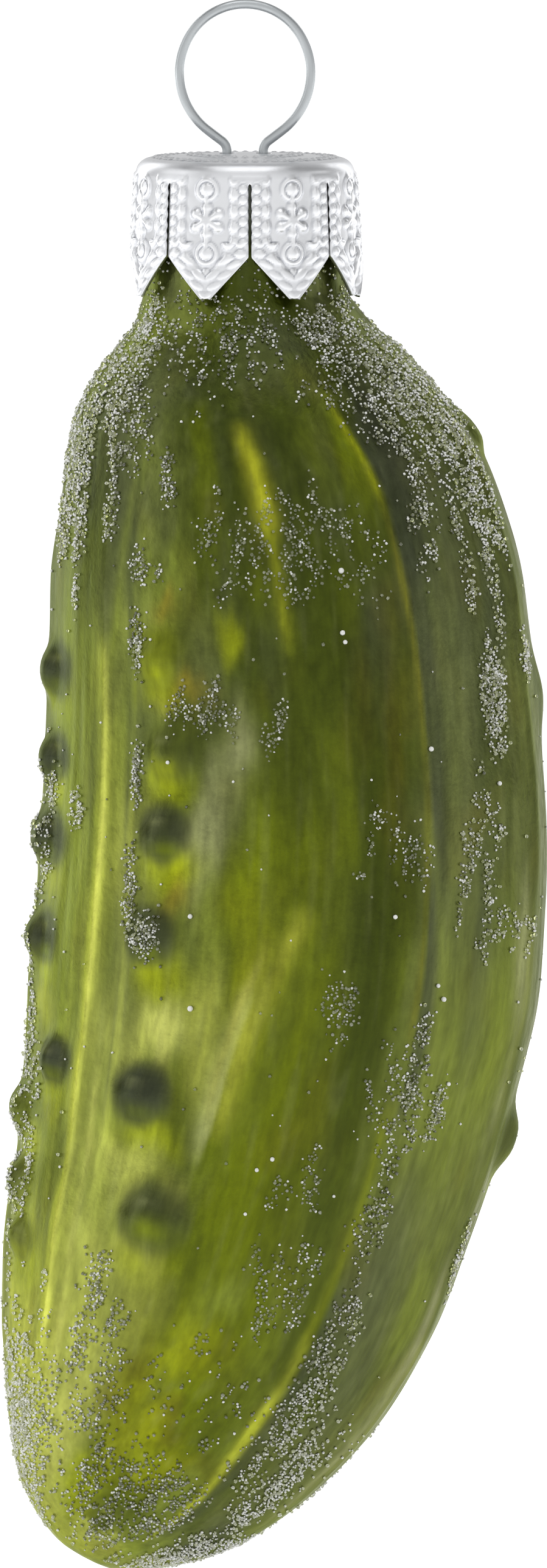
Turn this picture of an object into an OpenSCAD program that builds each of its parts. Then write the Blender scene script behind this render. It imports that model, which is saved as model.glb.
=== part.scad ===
// A blown glass pickle with a stamped metal crown and a sprung wire loop, hung as a tree ornament.
// The origin is inside the top of the loop, where a hook bears. +Z is up, +X is to the right seen
// from the front, and the front faces -Y. Angles round the neck are taken from the front to the right.

/* [Pickle glass] */
// Height of the pickle from the foot of its neck to its lowest point
body_l = 81.4; // [74:0.1:92]
// Half of the pickle's greatest width
body_r = 16.4; // [14.8:0.1:18]
// Depth from front to back, as a share of the width
body_depth_share = 0.92; // [0.85:0.01:1]
// Thickness of the blown wall
glass_t = 0.8; // [0.6:0.1:1.1]
// Lengthwise creases round the pickle
rib_count = 9; // [7:1:10]
// Angle of the crease that runs down the right of the front
rib_turn = 30; // [0:1:40]
// How far the flats between the creases lie in, as a share of the radius
rib_depth_share = 0.026; // [0.01:0.002:0.04]
// Radius of a full-sized wart where it leaves the skin
wart_r = 2; // [1.6:0.1:2.4]
// How far a full-sized wart stands out of the skin
wart_h = 0.75; // [0.5:0.05:1]

/* [Neck] */
// Outer radius of the glass neck
neck_r = 6.3; // [5.8:0.1:6.8]
// Ledge between the neck and the foot of the shoulder
neck_lip = 0.12; // [0.05:0.01:0.2]

/* [Cap] */
// Thickness of the stamped sheet
sheet_t = 0.25; // [0.2:0.01:0.3]
// Room between the neck and the upper skirt
cap_play = 0.4; // [0.3:0.05:0.5]
// Room between the neck's rim and the cap's roof
rim_play = 0.1; // [0.05:0.05:0.3]
// Radius of the bend from the roof to the skirt
shoulder_r = 1; // [0.7:0.1:1.3]
// How far the roof is domed
dome_h = 0.3; // [0.2:0.05:0.5]
// Height from the edge of the roof to the points
skirt_h = 8.6; // [8:0.1:9.5]
// How far the skirt leans out at its points
skirt_flare = 0.3; // [0.2:0.05:0.5]
// How far the points reach past the foot of the neck
point_reach = 0.1; // [0:0.1:0.4]
// Number of pointed tabs
tab_count = 8; // [6:1:10]
// Angle of the slit nearest the front
slit_turn = 2.5; // [0:0.5:20]
// Width of a slit between two tabs
slit_w = 0.18; // [0.12:0.02:0.3]
// Height from the edge of the roof to the top of a slit
slit_drop = 1.3; // [1.1:0.1:2]
// Height of the pointed part of a tab
point_h = 2.65; // [2:0.05:3]
// Width of the blunt end of a tab
tip_w = 0.6; // [0.3:0.05:1]
// Radius of the raised beads on a tab
bead_r = 0.6; // [0.5:0.05:0.7]
// How far the beads and the star stand out
bead_h = 0.2; // [0.15:0.01:0.25]
// Distance from the middle of the raised star to the middle of a petal
star_r = 0.7; // [0.65:0.05:0.8]
// Radius of a petal
petal_r = 0.3; // [0.25:0.01:0.34]
// Number of petals of the star
petal_count = 6; // [5:1:6]

/* [Hanger] */
// Diameter of the spring wire
wire_d = 0.6; // [0.5:0.05:0.7]
// Bend radius of the top of the loop, on the wire's centreline
loop_top_r = 4.1; // [3.7:0.1:4.4]
// Bend radius of the sides of the loop
loop_side_r = 4.6; // [4.2:0.1:5]
// Bend radius where the loop turns down into the cap
loop_foot_r = 0.8; // [0.6:0.1:1]
// Distance from the middle of the cap to each wire hole
hole_x = 1.15; // [0.95:0.05:1.35]
// Room round the wire in its hole
hole_play = 0.3; // [0.2:0.05:0.35]
// Room between the foot of the loop and the cap
foot_play = 0.1; // [0.05:0.05:0.2]
// Straight length of a leg under the cap before it spreads
leg_stem = 0.6; // [0.4:0.1:1.2]
// Bend radius where a leg spreads and where it turns down again
leg_r = 1.2; // [0.8:0.1:1.6]
// Room between a leg and the wall of the neck
leg_play = 0.25; // [0.2:0.05:0.4]
// Straight length of the end of a leg
leg_end = 5; // [4:0.1:6]

/* [Frost] */
// Radius of a glued crystal grain
grain_r = 0.2; // [0.15:0.01:0.25]
// Share of a grain's radius that is sunk in the lacquer
grain_sunk_share = 0.35; // [0.2:0.05:0.5]

/* [Hidden] */
$fn = 48;

// Overrun of every cut
cut_over = 1;
// Swelling of the wire where a bend meets a straight
swell_share = 1.02;
// Facets of the skin between two creases, and rings between two stations, outside and inside
skin_cols = 6;
cavity_cols = 4;
skin_rows = 2;
cavity_rows = 1;

// Stations down the pickle, as shares chosen by eye: sideways place and drop as shares of the
// height, swelling from the neck's radius (0) to the greatest radius (1), and the tilt in degrees
upper_shares = [
    [0.000, 0.000, 0.000, 0],
    [0.003, 0.012, 0.049, 0],
    [0.007, 0.027, 0.124, 0],
    [0.011, 0.044, 0.265, 0],
    [0.013, 0.066, 0.417, 0],
    [0.018, 0.096, 0.580, 0],
    [0.026, 0.131, 0.710, 0],
    [0.031, 0.174, 0.804, 0],
    [0.035, 0.221, 0.876, 0],
    [0.038, 0.278, 0.913, 0],
    [0.040, 0.345, 0.947, 0],
    [0.041, 0.411, 0.982, -1],
    [0.038, 0.478, 0.998, -3],
    [0.033, 0.540, 1.000, -5]
];
// The same below the greatest width, where the third share is of the greatest radius
lower_shares = [
    [0.024, 0.597, 0.972, -8],
    [0.013, 0.654, 0.942, -10],
    [0.000, 0.706, 0.910, -13],
    [-0.014, 0.758, 0.882, -16],
    [-0.030, 0.806, 0.831, -19],
    [-0.046, 0.844, 0.770, -22],
    [-0.066, 0.884, 0.678, -25],
    [-0.085, 0.921, 0.567, -27],
    [-0.101, 0.946, 0.464, -28],
    [-0.113, 0.965, 0.358, -28],
    [-0.121, 0.978, 0.256, -28],
    [-0.124, 0.987, 0.176, -28],
    [-0.125, 0.992, 0.109, -28],
    [-0.125, 0.994, 0.000, -28]
];
// The creases fade in and the section flattens over these shares of the height
fade_top_share = 0.02;
fade_end_share = 0.13;
// The cavity starts and ends at these shares of the way through the stations, and below this share
// of the height the wall keeps its thickness upwards too
cavity_top_share = 0.015;
cavity_end_share = 0.975;
nose_top_share = 0.9;

// Warts: drop as a share of the height, angle from the front, and size as a share of full size
wart_shares = [
    [0.294, -85, 1.0], [0.363, -84, 0.9], [0.430, -85, 1.1], [0.517, -84, 1.0],
    [0.622, -67, 0.9], [0.675, -87, 1.1], [0.738, -80, 1.0], [0.786, -74, 0.8],
    [0.278, -35, 0.9], [0.349, -31, 1.0], [0.416, -32, 1.0], [0.500, -34, 1.0],
    [0.632, -32, 1.1], [0.729, -23, 1.3],
    [0.105, 87, 0.9], [0.313, 86, 0.9], [0.631, 82, 1.1],
    [0.240, 130, 0.9], [0.335, 127, 1.0], [0.455, 131, 1.1], [0.560, 128, 1.0], [0.700, 130, 1.1],
    [0.200, 170, 0.8], [0.300, 168, 1.0], [0.395, 172, 1.0], [0.520, 169, 1.2], [0.610, 172, 0.9],
    [0.760, 168, 1.1],
    [0.265, 211, 1.0], [0.370, 208, 0.9], [0.480, 212, 1.1], [0.585, 209, 1.0], [0.680, 211, 1.2],
    [0.800, 208, 0.9],
    [0.225, 248, 0.9], [0.330, 251, 1.0], [0.445, 249, 0.9], [0.555, 250, 1.1], [0.735, 247, 1.0]
];

// Patches of frost: drop as a share of the height, angle, reach of each as a share of the height
// and in degrees, and the number of grains
frost_shares = [
    [0.07, -65, 0.045, 26, 16], [0.16, -78, 0.060, 10, 14], [0.05, 28, 0.030, 34, 18],
    [0.14, 62, 0.050, 16, 16], [0.16, 4, 0.025, 24, 12], [0.33, 58, 0.035, 6, 12],
    [0.43, -47, 0.050, 4, 8], [0.52, 18, 0.030, 7, 8], [0.60, 33, 0.035, 8, 10],
    [0.70, 30, 0.040, 9, 12], [0.82, 44, 0.050, 14, 18], [0.92, 20, 0.030, 36, 18],
    [0.90, -50, 0.035, 26, 16], [0.08, 140, 0.045, 30, 14], [0.10, 215, 0.050, 26, 14],
    [0.40, 150, 0.040, 6, 8], [0.58, 230, 0.045, 7, 8], [0.74, 190, 0.040, 10, 10],
    [0.90, 160, 0.035, 34, 16]
];
// Turn from one grain of a patch to the next, in degrees
spiral_turn = 137.5;

// Directions of the wire's centreline, in degrees down from level: after the top bend of the loop,
// at its foot, and along the spread part of a leg
loop_side_turn = 60;
loop_foot_turn = 143;
leg_turn = 63;

// Heights on a tab, as shares of the height from the slit's top to the start of its point
bead_top_share = 0.08;
bead_low_share = 0.95;
star_share = 0.5;
// Height of a petal as a share of a bead's, and where the domes are cut as a share of their radius
petal_h_share = 0.8;
bead_cut_share = 0.92;

wire_r = wire_d / 2;
bore_r = neck_r - glass_t;
foot_r = neck_r + neck_lip;
skirt_r = neck_r + cap_play + sheet_t;
roof_r = skirt_r - shoulder_r;

// The loop's right half, from its top to the hole in the cap
side_x = loop_top_r * sin(loop_side_turn);
side_z = wire_r - loop_top_r * (1 - cos(loop_side_turn));
slant_x = side_x + loop_side_r * (sin(loop_foot_turn) - sin(loop_side_turn));
slant_z = side_z - loop_side_r * (cos(loop_side_turn) - cos(loop_foot_turn));
slant_l = (slant_x - hole_x - loop_foot_r * (1 - sin(loop_foot_turn))) / -cos(loop_foot_turn);
stem_z = slant_z - slant_l * sin(loop_foot_turn) + loop_foot_r * cos(loop_foot_turn);

// Levels
roof_z = stem_z - foot_play;
edge_z = roof_z - dome_h;
tip_z = edge_z - skirt_h;
body_z = tip_z + point_reach;
slit_z = edge_z - slit_drop;
point_z = tip_z + point_h;
rim_z = edge_z - sheet_t - rim_play;

// The right leg, from the hole to its end
leg_x = bore_r - leg_play - wire_r;
spread_l = (leg_x - hole_x - 2 * leg_r * (1 - sin(leg_turn))) / cos(leg_turn);

// A smooth curve through column c of table t at station u
function row_of(t, i) = t[max(0, min(len(t) - 1, i))];
function smooth(t, c, u) =
    let (i = min(floor(u), len(t) - 2), f = u - i)
    let (a = row_of(t, i - 1)[c], b = row_of(t, i)[c])
    let (d = row_of(t, i + 1)[c], e = row_of(t, i + 2)[c])
    b + f / 2 * (d - a + f * (2 * a - 5 * b + 4 * d - e + f * (3 * b - a - 3 * d + e)));

// The stations in real sizes: sideways place, drop, half width and tilt
stations = concat(
    [for (s = upper_shares) [s[0] * body_l, s[1] * body_l, foot_r + s[2] * (body_r - foot_r), s[3]]],
    [for (s = lower_shares) [s[0] * body_l, s[1] * body_l, s[2] * body_r, s[3]]]
);
last = len(stations) - 1;
drops = [for (i = [0:last]) [stations[i][1], i]];

function clamped(v) = max(0, min(1, v));
function fade(drop) = clamped((drop / body_l - fade_top_share) / (fade_end_share - fade_top_share));
function nose(drop) = clamped((drop / body_l - nose_top_share) / (1 - nose_top_share));
// 0 on a crease and 1 in the middle of a flat
function flat_part(q) =
    let (p = 360 / rib_count, f = abs((q - rib_turn) / p - round((q - rib_turn) / p)) * 2)
    1 - (1 - f) * (1 - f);

// A point of the skin at station u and angle q, moved in by inset
function skin_point(u, q, inset) =
    let (drop = smooth(stations, 1, u), tilt = smooth(stations, 3, u), f = fade(drop))
    let (w = smooth(stations, 2, u) * (1 - rib_depth_share * f * flat_part(q)) - inset)
    let (depth = w + (w + inset) * (body_depth_share - 1) * f)
    [
        smooth(stations, 0, u) + w * sin(q) * cos(tilt),
        -depth * cos(q),
        body_z - drop + inset * nose(drop) + w * sin(q) * sin(tilt)
    ];
function outward(u, q) =
    let (tilt = smooth(stations, 3, u))
    [sin(q) * cos(tilt), -cos(q), sin(q) * sin(tilt)];
function station_of(drop) = lookup(drop, drops);

// A closed shell through rings of skin points, flat at its top and pointed at its end
module skin_solid(rings, end) {
    n = len(rings);
    m = len(rings[0]);
    polyhedron(
        points = concat([for (r = rings) each r], [end]),
        faces = concat(
            [[for (k = [m - 1:-1:0]) k]],
            [for (j = [0:n - 2], k = [0:m - 1]) let (l = (k + 1) % m)
                each [[j * m + k, j * m + l, (j + 1) * m + l], [j * m + k, (j + 1) * m + l, (j + 1) * m + k]]],
            [for (k = [0:m - 1]) [(n - 1) * m + k, (n - 1) * m + (k + 1) % m, n * m]]
        )
    );
}

module pickle_skin() {
    m = rib_count * skin_cols;
    rings = [for (j = [0:last * skin_rows - 1])
        [for (k = [0:m - 1]) skin_point(j / skin_rows, rib_turn + 360 * k / m, 0)]];
    skin_solid(rings, skin_point(last, 0, 0));
}

module pickle_cavity() {
    m = rib_count * cavity_cols;
    first = cavity_top_share * last;
    end = cavity_end_share * last;
    n = round((end - first) * cavity_rows);
    rings = [for (j = [0:n])
        [for (k = [0:m - 1]) skin_point(first + (end - first) * j / n, rib_turn + 360 * k / m, glass_t)]];
    skin_solid(rings, [for (c = [0:2]) (rings[n][0][c] + rings[n][floor(m / 2)][c]) / 2]);
}

// A wart is the top of a ball that is sunk in the skin
module wart(drop_share, q, size_share) {
    r = wart_r * size_share;
    h = wart_h * size_share;
    ball_r = (r * r + h * h) / (2 * h);
    u = station_of(drop_share * body_l);
    translate(skin_point(u, q, 0) - (ball_r - h) * outward(u, q)) sphere(ball_r);
}

module glass_body() {
    color([0.36, 0.46, 0.13]) difference() {
        union() {
            pickle_skin();
            translate([0, 0, body_z - glass_t * 3]) cylinder(h = rim_z - body_z + glass_t * 3, r = neck_r);
            for (w = wart_shares) wart(w[0], w[1], w[2]);
        }
        pickle_cavity();
        translate([0, 0, body_z - glass_t * 2]) cylinder(h = rim_z - body_z + glass_t * 2 + cut_over, r = bore_r);
    }
}

// The sheet from the middle of the roof over the shoulder to the points, moved in by inset
function cap_profile(inset) = concat(
    [[0, roof_z - inset], [roof_r * 0.5, roof_z - dome_h * 0.3 - inset]],
    [for (a = [90:-15:0]) [
        roof_r + (shoulder_r - inset) * cos(a),
        edge_z - shoulder_r + (shoulder_r - inset) * sin(a)
    ]],
    [[skirt_r + skirt_flare - inset, tip_z]]
);

function reversed(v) = [for (i = [len(v) - 1:-1:0]) v[i]];

// The slit between two tabs and the notch under it
module slit_cut() {
    half_tab = (skirt_r + skirt_flare) * sin(180 / tab_count);
    slope = point_h / (half_tab - tip_w / 2 - slit_w / 2);
    low_z = tip_z - slope * tip_w;
    low_x = half_tab + tip_w / 2;
    rotate([90, 0, 0]) linear_extrude(height = skirt_r + skirt_flare + cut_over) polygon([
        [-slit_w / 2, slit_z], [-slit_w / 2, point_z], [-low_x, low_z],
        [low_x, low_z], [slit_w / 2, point_z], [slit_w / 2, slit_z]
    ]);
}

// Radius of the skirt's outer face at height z
function skirt_at(z) =
    skirt_r + skirt_flare * (edge_z - shoulder_r - z) / (edge_z - shoulder_r - tip_z);

// Places a child that stands out along +Z on the skirt, at angle q and height z
module on_skirt(q, z) {
    rotate([0, 0, q]) translate([0, -skirt_at(z), z]) rotate([90, 0, 0]) children();
}

// A low dome that is rooted in the sheet, cut upright a little inside its radius
module raised_bead(r, h) {
    ball_r = (r * r + h * h) / (2 * h);
    intersection() {
        translate([0, 0, h - ball_r]) sphere(ball_r);
        translate([0, 0, -sheet_t / 2]) cylinder(h = sheet_t + h, r = r * bead_cut_share);
    }
}

// Two beads with a star of smaller ones between them
module tab_ornament(q) {
    tab_h = slit_z - point_z;
    for (s = [bead_top_share, bead_low_share]) on_skirt(q, slit_z - s * tab_h) raised_bead(bead_r, bead_h);
    on_skirt(q, slit_z - star_share * tab_h)
        for (k = [0:petal_count - 1])
            rotate([0, 0, 360 * k / petal_count]) translate([0, star_r, 0])
                raised_bead(petal_r, bead_h * petal_h_share);
}

module cap() {
    color([0.78, 0.78, 0.8]) {
        difference() {
            rotate_extrude() polygon(concat(cap_profile(0), reversed(cap_profile(sheet_t))));
            for (k = [0:tab_count - 1]) rotate([0, 0, slit_turn + 360 * k / tab_count]) slit_cut();
            for (x = [-hole_x, hole_x])
                translate([x, 0, edge_z - cut_over]) cylinder(h = dome_h + cut_over * 2, r = wire_r + hole_play);
        }
        for (k = [0:tab_count - 1]) tab_ornament(slit_turn + 360 * (k + 0.5) / tab_count);
    }
}

// A bend of the wire in the XZ plane, round a centre, between two angles taken from +X upwards
module wire_bend(x, z, r, from, to) {
    translate([x, 0, z]) rotate([90, 0, 0]) rotate([0, 0, from])
        rotate_extrude(angle = to - from) translate([r, 0]) circle(wire_r);
}

// A straight piece of wire in the XZ plane, its direction in degrees down from level
module wire_straight(x, z, l, turn) {
    translate([x, 0, z]) rotate([0, 90 + turn, 0]) cylinder(h = l, r = wire_r);
}

// A joint between two pieces of the wire
module wire_joint(x, z) {
    translate([x, 0, z]) sphere(wire_r * swell_share);
}

// The right half of the wire under its top bend: the side of the loop, its foot, and the leg
module hanger_half() {
    foot_x = hole_x + loop_foot_r * (1 - sin(loop_foot_turn));
    foot_z = stem_z - loop_foot_r * cos(loop_foot_turn);
    leg_z = roof_z - dome_h - sheet_t - leg_stem;
    leg_side = leg_r * (1 - sin(leg_turn));
    leg_drop = leg_r * cos(leg_turn);
    spread_z = leg_z - leg_drop;
    low_z = spread_z - spread_l * sin(leg_turn);
    end_z = low_z - leg_drop;
    wire_bend(side_x - loop_side_r * sin(loop_side_turn), side_z - loop_side_r * cos(loop_side_turn),
        loop_side_r, 90 - loop_foot_turn, 90 - loop_side_turn);
    wire_straight(slant_x, slant_z, slant_l, loop_foot_turn);
    wire_bend(hole_x + loop_foot_r, stem_z, loop_foot_r, 270 - loop_foot_turn, 180);
    wire_straight(hole_x, stem_z, stem_z - leg_z, 90);
    wire_bend(hole_x + leg_r, leg_z, leg_r, 180, 270 - leg_turn);
    wire_straight(hole_x + leg_side, spread_z, spread_l, leg_turn);
    wire_bend(leg_x - leg_r, end_z, leg_r, 0, 90 - leg_turn);
    wire_straight(leg_x, end_z, leg_end, 90);
    for (p = [
        [side_x, side_z], [slant_x, slant_z], [foot_x, foot_z], [hole_x, stem_z], [hole_x, leg_z],
        [hole_x + leg_side, spread_z], [leg_x - leg_side, low_z], [leg_x, end_z]
    ]) wire_joint(p[0], p[1]);
}

module hanger() {
    color([0.6, 0.62, 0.64]) {
        wire_bend(0, wire_r - loop_top_r, loop_top_r, 90 - loop_side_turn, 90 + loop_side_turn);
        hanger_half();
        mirror([1, 0, 0]) hanger_half();
    }
}

// Glass grains that are part sunk in the lacquer. Those of a patch lie on a spiral, no two close together.
module frost_grains() {
    color([0.9, 0.93, 0.9])
        for (f = frost_shares, k = [0:f[4] - 1]) {
            reach = sqrt((k + 0.5) / f[4]);
            u = station_of((f[0] + f[2] * reach * cos(k * spiral_turn)) * body_l);
            q = f[1] + f[3] * reach * sin(k * spiral_turn);
            translate(skin_point(u, q, grain_r * grain_sunk_share)) sphere(grain_r);
        }
}

glass_body();
cap();
hanger();
frost_grains();
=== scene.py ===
# The looks of the pickle ornament: the blown glass pickle with its ridges and warts, the frost on it,
# the stamped crown and the wire loop. Lengths are in millimetres here, as in the CAD source, and
# are turned into metres where a mesh is made.
import math
import random

import bpy
import numpy as np
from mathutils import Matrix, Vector, noise
from mathutils.geometry import delaunay_2d_cdt


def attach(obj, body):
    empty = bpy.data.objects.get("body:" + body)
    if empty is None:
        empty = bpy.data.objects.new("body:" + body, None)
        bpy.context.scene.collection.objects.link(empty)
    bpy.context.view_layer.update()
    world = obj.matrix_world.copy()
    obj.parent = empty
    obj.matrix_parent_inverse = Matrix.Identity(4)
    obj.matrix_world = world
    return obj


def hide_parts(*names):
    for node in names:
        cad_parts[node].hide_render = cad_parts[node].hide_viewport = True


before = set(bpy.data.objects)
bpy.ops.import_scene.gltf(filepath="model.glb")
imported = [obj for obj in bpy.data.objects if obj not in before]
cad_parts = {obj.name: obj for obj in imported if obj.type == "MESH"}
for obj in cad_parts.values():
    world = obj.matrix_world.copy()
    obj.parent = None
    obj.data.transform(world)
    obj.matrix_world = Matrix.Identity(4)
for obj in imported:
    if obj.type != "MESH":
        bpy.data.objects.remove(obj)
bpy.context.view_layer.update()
MM = 0.001

# Camera: the place it looks at, its distance, its height over level in degrees, and the height of
# the picture at that distance
LOOK_AT = (1.8, 0.0, -49.3)
CAMERA_FAR = 1200.0
CAMERA_UP = 5.0
PICTURE_H = 99.7
SENSOR = 36.0

# Sizes of the pickle, as in part.scad
BODY_L = 81.4
BODY_R = 16.4
DEPTH_SHARE = 0.92
GLASS_T = 0.8
RIB_COUNT = 9
RIB_TURN = 30.0
RIB_DEPTH_SHARE = 0.026
WART_R = 2.0
WART_H = 0.75
NECK_R = 6.3
NECK_LIP = 0.12
FOOT_R = NECK_R + NECK_LIP
BORE_R = NECK_R - GLASS_T

# Sizes of the cap
SHEET_T = 0.25
CAP_PLAY = 0.4
RIM_PLAY = 0.1
SHOULDER_R = 1.0
DOME_H = 0.3
SKIRT_H = 8.6
SKIRT_FLARE = 0.3
POINT_REACH = 0.1
TAB_COUNT = 8
SLIT_TURN = 2.5
SLIT_W = 0.18
SLIT_DROP = 1.3
POINT_H = 2.65
TIP_W = 0.6
SKIRT_R = NECK_R + CAP_PLAY + SHEET_T
ROOF_R = SKIRT_R - SHOULDER_R

# Sizes of the wire
WIRE_R = 0.3
LOOP_TOP_R = 4.1
LOOP_SIDE_R = 4.6
LOOP_FOOT_R = 0.8
HOLE_X = 1.15
HOLE_PLAY = 0.3
FOOT_PLAY = 0.1
LEG_STEM = 0.6
LEG_R = 1.2
LEG_PLAY = 0.25
LEG_END = 5.0
SIDE_TURN = 60.0
FOOT_TURN = 143.0
LEG_TURN = 63.0

# Stations down the pickle, as in part.scad
UPPER_SHARES = [
    (0.000, 0.000, 0.000, 0), (0.003, 0.012, 0.049, 0), (0.007, 0.027, 0.124, 0),
    (0.011, 0.044, 0.265, 0), (0.013, 0.066, 0.417, 0), (0.018, 0.096, 0.580, 0),
    (0.026, 0.131, 0.710, 0), (0.031, 0.174, 0.804, 0), (0.035, 0.221, 0.876, 0),
    (0.038, 0.278, 0.913, 0), (0.040, 0.345, 0.947, 0), (0.041, 0.411, 0.982, -1),
    (0.038, 0.478, 0.998, -3), (0.033, 0.540, 1.000, -5),
]
LOWER_SHARES = [
    (0.024, 0.597, 0.972, -8), (0.013, 0.654, 0.942, -10), (0.000, 0.706, 0.910, -13),
    (-0.014, 0.758, 0.882, -16), (-0.030, 0.806, 0.831, -19), (-0.046, 0.844, 0.770, -22),
    (-0.066, 0.884, 0.678, -25), (-0.085, 0.921, 0.567, -27), (-0.101, 0.946, 0.464, -28),
    (-0.113, 0.965, 0.358, -28), (-0.121, 0.978, 0.256, -28), (-0.124, 0.987, 0.176, -28),
    (-0.125, 0.992, 0.109, -28), (-0.125, 0.994, 0.000, -28),
]
FADE_TOP_SHARE = 0.02
FADE_END_SHARE = 0.13
CAVITY_TOP_SHARE = 0.015
CAVITY_END_SHARE = 0.975
NOSE_TOP_SHARE = 0.9

# Warts: drop as a share of the height, angle, size as a share of full size, and how dark the crown is
WART_SHARES = [
    (0.294, -85, 1.0, 1.0), (0.363, -84, 0.9, 1.0), (0.430, -85, 1.1, 1.0), (0.517, -84, 1.0, 1.0),
    (0.622, -67, 0.9, 1.0), (0.675, -87, 1.1, 0.3), (0.738, -80, 1.0, 0.7), (0.786, -74, 0.8, 0.5),
    (0.278, -35, 0.9, 0.25), (0.349, -31, 1.0, 0.45), (0.416, -32, 1.0, 0.9), (0.500, -34, 1.0, 0.9),
    (0.632, -32, 1.1, 1.0), (0.729, -23, 1.3, 0.8), (0.105, 87, 0.9, 0.3), (0.631, 82, 1.1, 0.6),
    (0.240, 130, 0.9, 0.5), (0.335, 127, 1.0, 0.9), (0.455, 131, 1.1, 0.8), (0.560, 128, 1.0, 0.9),
    (0.700, 130, 1.1, 0.7), (0.200, 170, 0.8, 0.4), (0.300, 168, 1.0, 0.9), (0.395, 172, 1.0, 0.8),
    (0.520, 169, 1.2, 0.9), (0.610, 172, 0.9, 0.6), (0.760, 168, 1.1, 0.9), (0.265, 211, 1.0, 0.6),
    (0.370, 208, 0.9, 0.9), (0.480, 212, 1.1, 0.8), (0.585, 209, 1.0, 0.9), (0.680, 211, 1.2, 0.8),
    (0.800, 208, 0.9, 0.7), (0.225, 248, 0.9, 0.5), (0.330, 251, 1.0, 0.8), (0.445, 249, 0.9, 0.9),
    (0.555, 250, 1.1, 0.8), (0.735, 247, 1.0, 0.7),
]
# Low, wide swellings: drop share, angle, radius and height
SWELL_SHARES = [
    (0.313, 86, 2.5, 0.42), (0.247, -31, 2.2, 0.16), (0.273, -16, 1.5, 0.14), (0.312, -31, 2.0, 0.16),
    (0.800, 5, 2.2, 0.18), (0.845, 0, 2.0, 0.24), (0.880, -4, 2.4, 0.20), (0.930, -6, 2.2, 0.22),
    (0.385, 60, 3.0, 0.12), (0.560, 60, 3.4, 0.12), (0.300, 190, 3.0, 0.15), (0.650, 190, 3.4, 0.16),
    (0.870, 170, 2.4, 0.22), (0.430, 110, 3.2, 0.12), (0.500, 230, 3.2, 0.14), (0.840, 100, 2.4, 0.18),
    (0.880, 240, 2.4, 0.20),
]
# Ridge lines: half width in millimetres, height, and the places they pass (drop share, angle)
RIDGES = [
    (0.95, 0.13, [(0.26, -50), (0.34, -49), (0.45, -48.5), (0.60, -49.5), (0.75, -51), (0.85, -50),
                  (0.93, -48)]),
    (0.80, 0.05, [(0.46, -40), (0.55, -39.5), (0.70, -39), (0.85, -39), (0.93, -38)]),
    (0.60, 0.08, [(0.11, -6), (0.15, -5), (0.20, -3), (0.25, -2), (0.27, -1.5)]),
    (1.10, 0.06, [(0.45, 2), (0.50, -1), (0.55, -7), (0.60, -9.5), (0.66, -11), (0.72, -10), (0.80, -8)]),
    (0.60, 0.08, [(0.08, 22), (0.12, 25), (0.20, 28), (0.30, 30), (0.40, 30.5), (0.50, 29.5),
                  (0.62, 28.5), (0.74, 27), (0.80, 26), (0.86, 25), (0.90, 25), (0.95, 24)]),
    (0.70, 0.08, [(0.45, 66), (0.55, 66), (0.65, 66), (0.78, 68), (0.90, 66), (0.96, 64)]),
]
GROOVE_SIDE = 1.9
GROOVE_DEPTH = 0.025
LINE_END_SHARE = 0.03

# Rows and columns of the glass mesh
SKIN_ROWS = 240
SKIN_COLS = 340
FRONT_SHARE = 0.3
CAVITY_ROWS = 26

# Lacquer colours, as they are written for a screen: greens, then greys. The pale and bright ones also serve
# as painted highlights and painted reflections, and the dark ones as painted shade
DEEP = (56, 66, 12)
GREEN = (74, 84, 18)
LIT = (104, 116, 6)
PALE = (122, 134, 48)
BRIGHT = (152, 162, 16)
WHITISH = (190, 194, 98)
SHADE = (54, 60, 28)
STRAW = (150, 156, 64)
LIME = (170, 176, 80)
LEMON = (132, 138, 10)
DUSK = (60, 64, 46)
MOSS = (82, 88, 56)
SAGE = (100, 107, 56)
ASH = (140, 144, 96)
OLIVE = (88, 82, 18)
AMBER = (158, 140, 40)
SLATE = (57, 62, 45)
SILVER = (188, 190, 184)
# the neck's silver is painted darker, as the shade that falls under the cap
NECK_SILVER = (98, 101, 92)


def linear(rgb):
    """A screen colour from 0 to 255 as linear light."""
    out = []
    for v in rgb:
        v = v / 255
        out.append(v / 12.92 if v <= 0.04045 else ((v + 0.055) / 1.055) ** 2.4)
    return np.array(out)


def clamp(v):
    return np.minimum(1.0, np.maximum(0.0, v))


def ramp(v, start, length):
    """0 up to the start, then a straight rise to 1 over a length."""
    return clamp((v - start) / length)


def bell(v, power=2):
    return np.exp(-(v ** power))


def spot(down, side, y, x, high, wide, power=1):
    """1 at a middle (y, x), falling to 0 over a height and a width."""
    return np.exp(-(((down - y) / high) ** 2 + ((side - x) / wide) ** 2) ** power)


def deg_sin(q):
    return np.sin(np.radians(q))


def deg_cos(q):
    return np.cos(np.radians(q))


def stack(*parts):
    return np.stack(np.broadcast_arrays(*parts), axis=-1)


def ring(r, q, z):
    """Points at a radius and a height, at angles taken from the front."""
    return stack(r * deg_sin(q), -r * deg_cos(q), z)


def angle_gap(a, b):
    """The signed turn from b to a, between -180 and 180."""
    return (np.asarray(a) - b + 180.0) % 360.0 - 180.0


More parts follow.
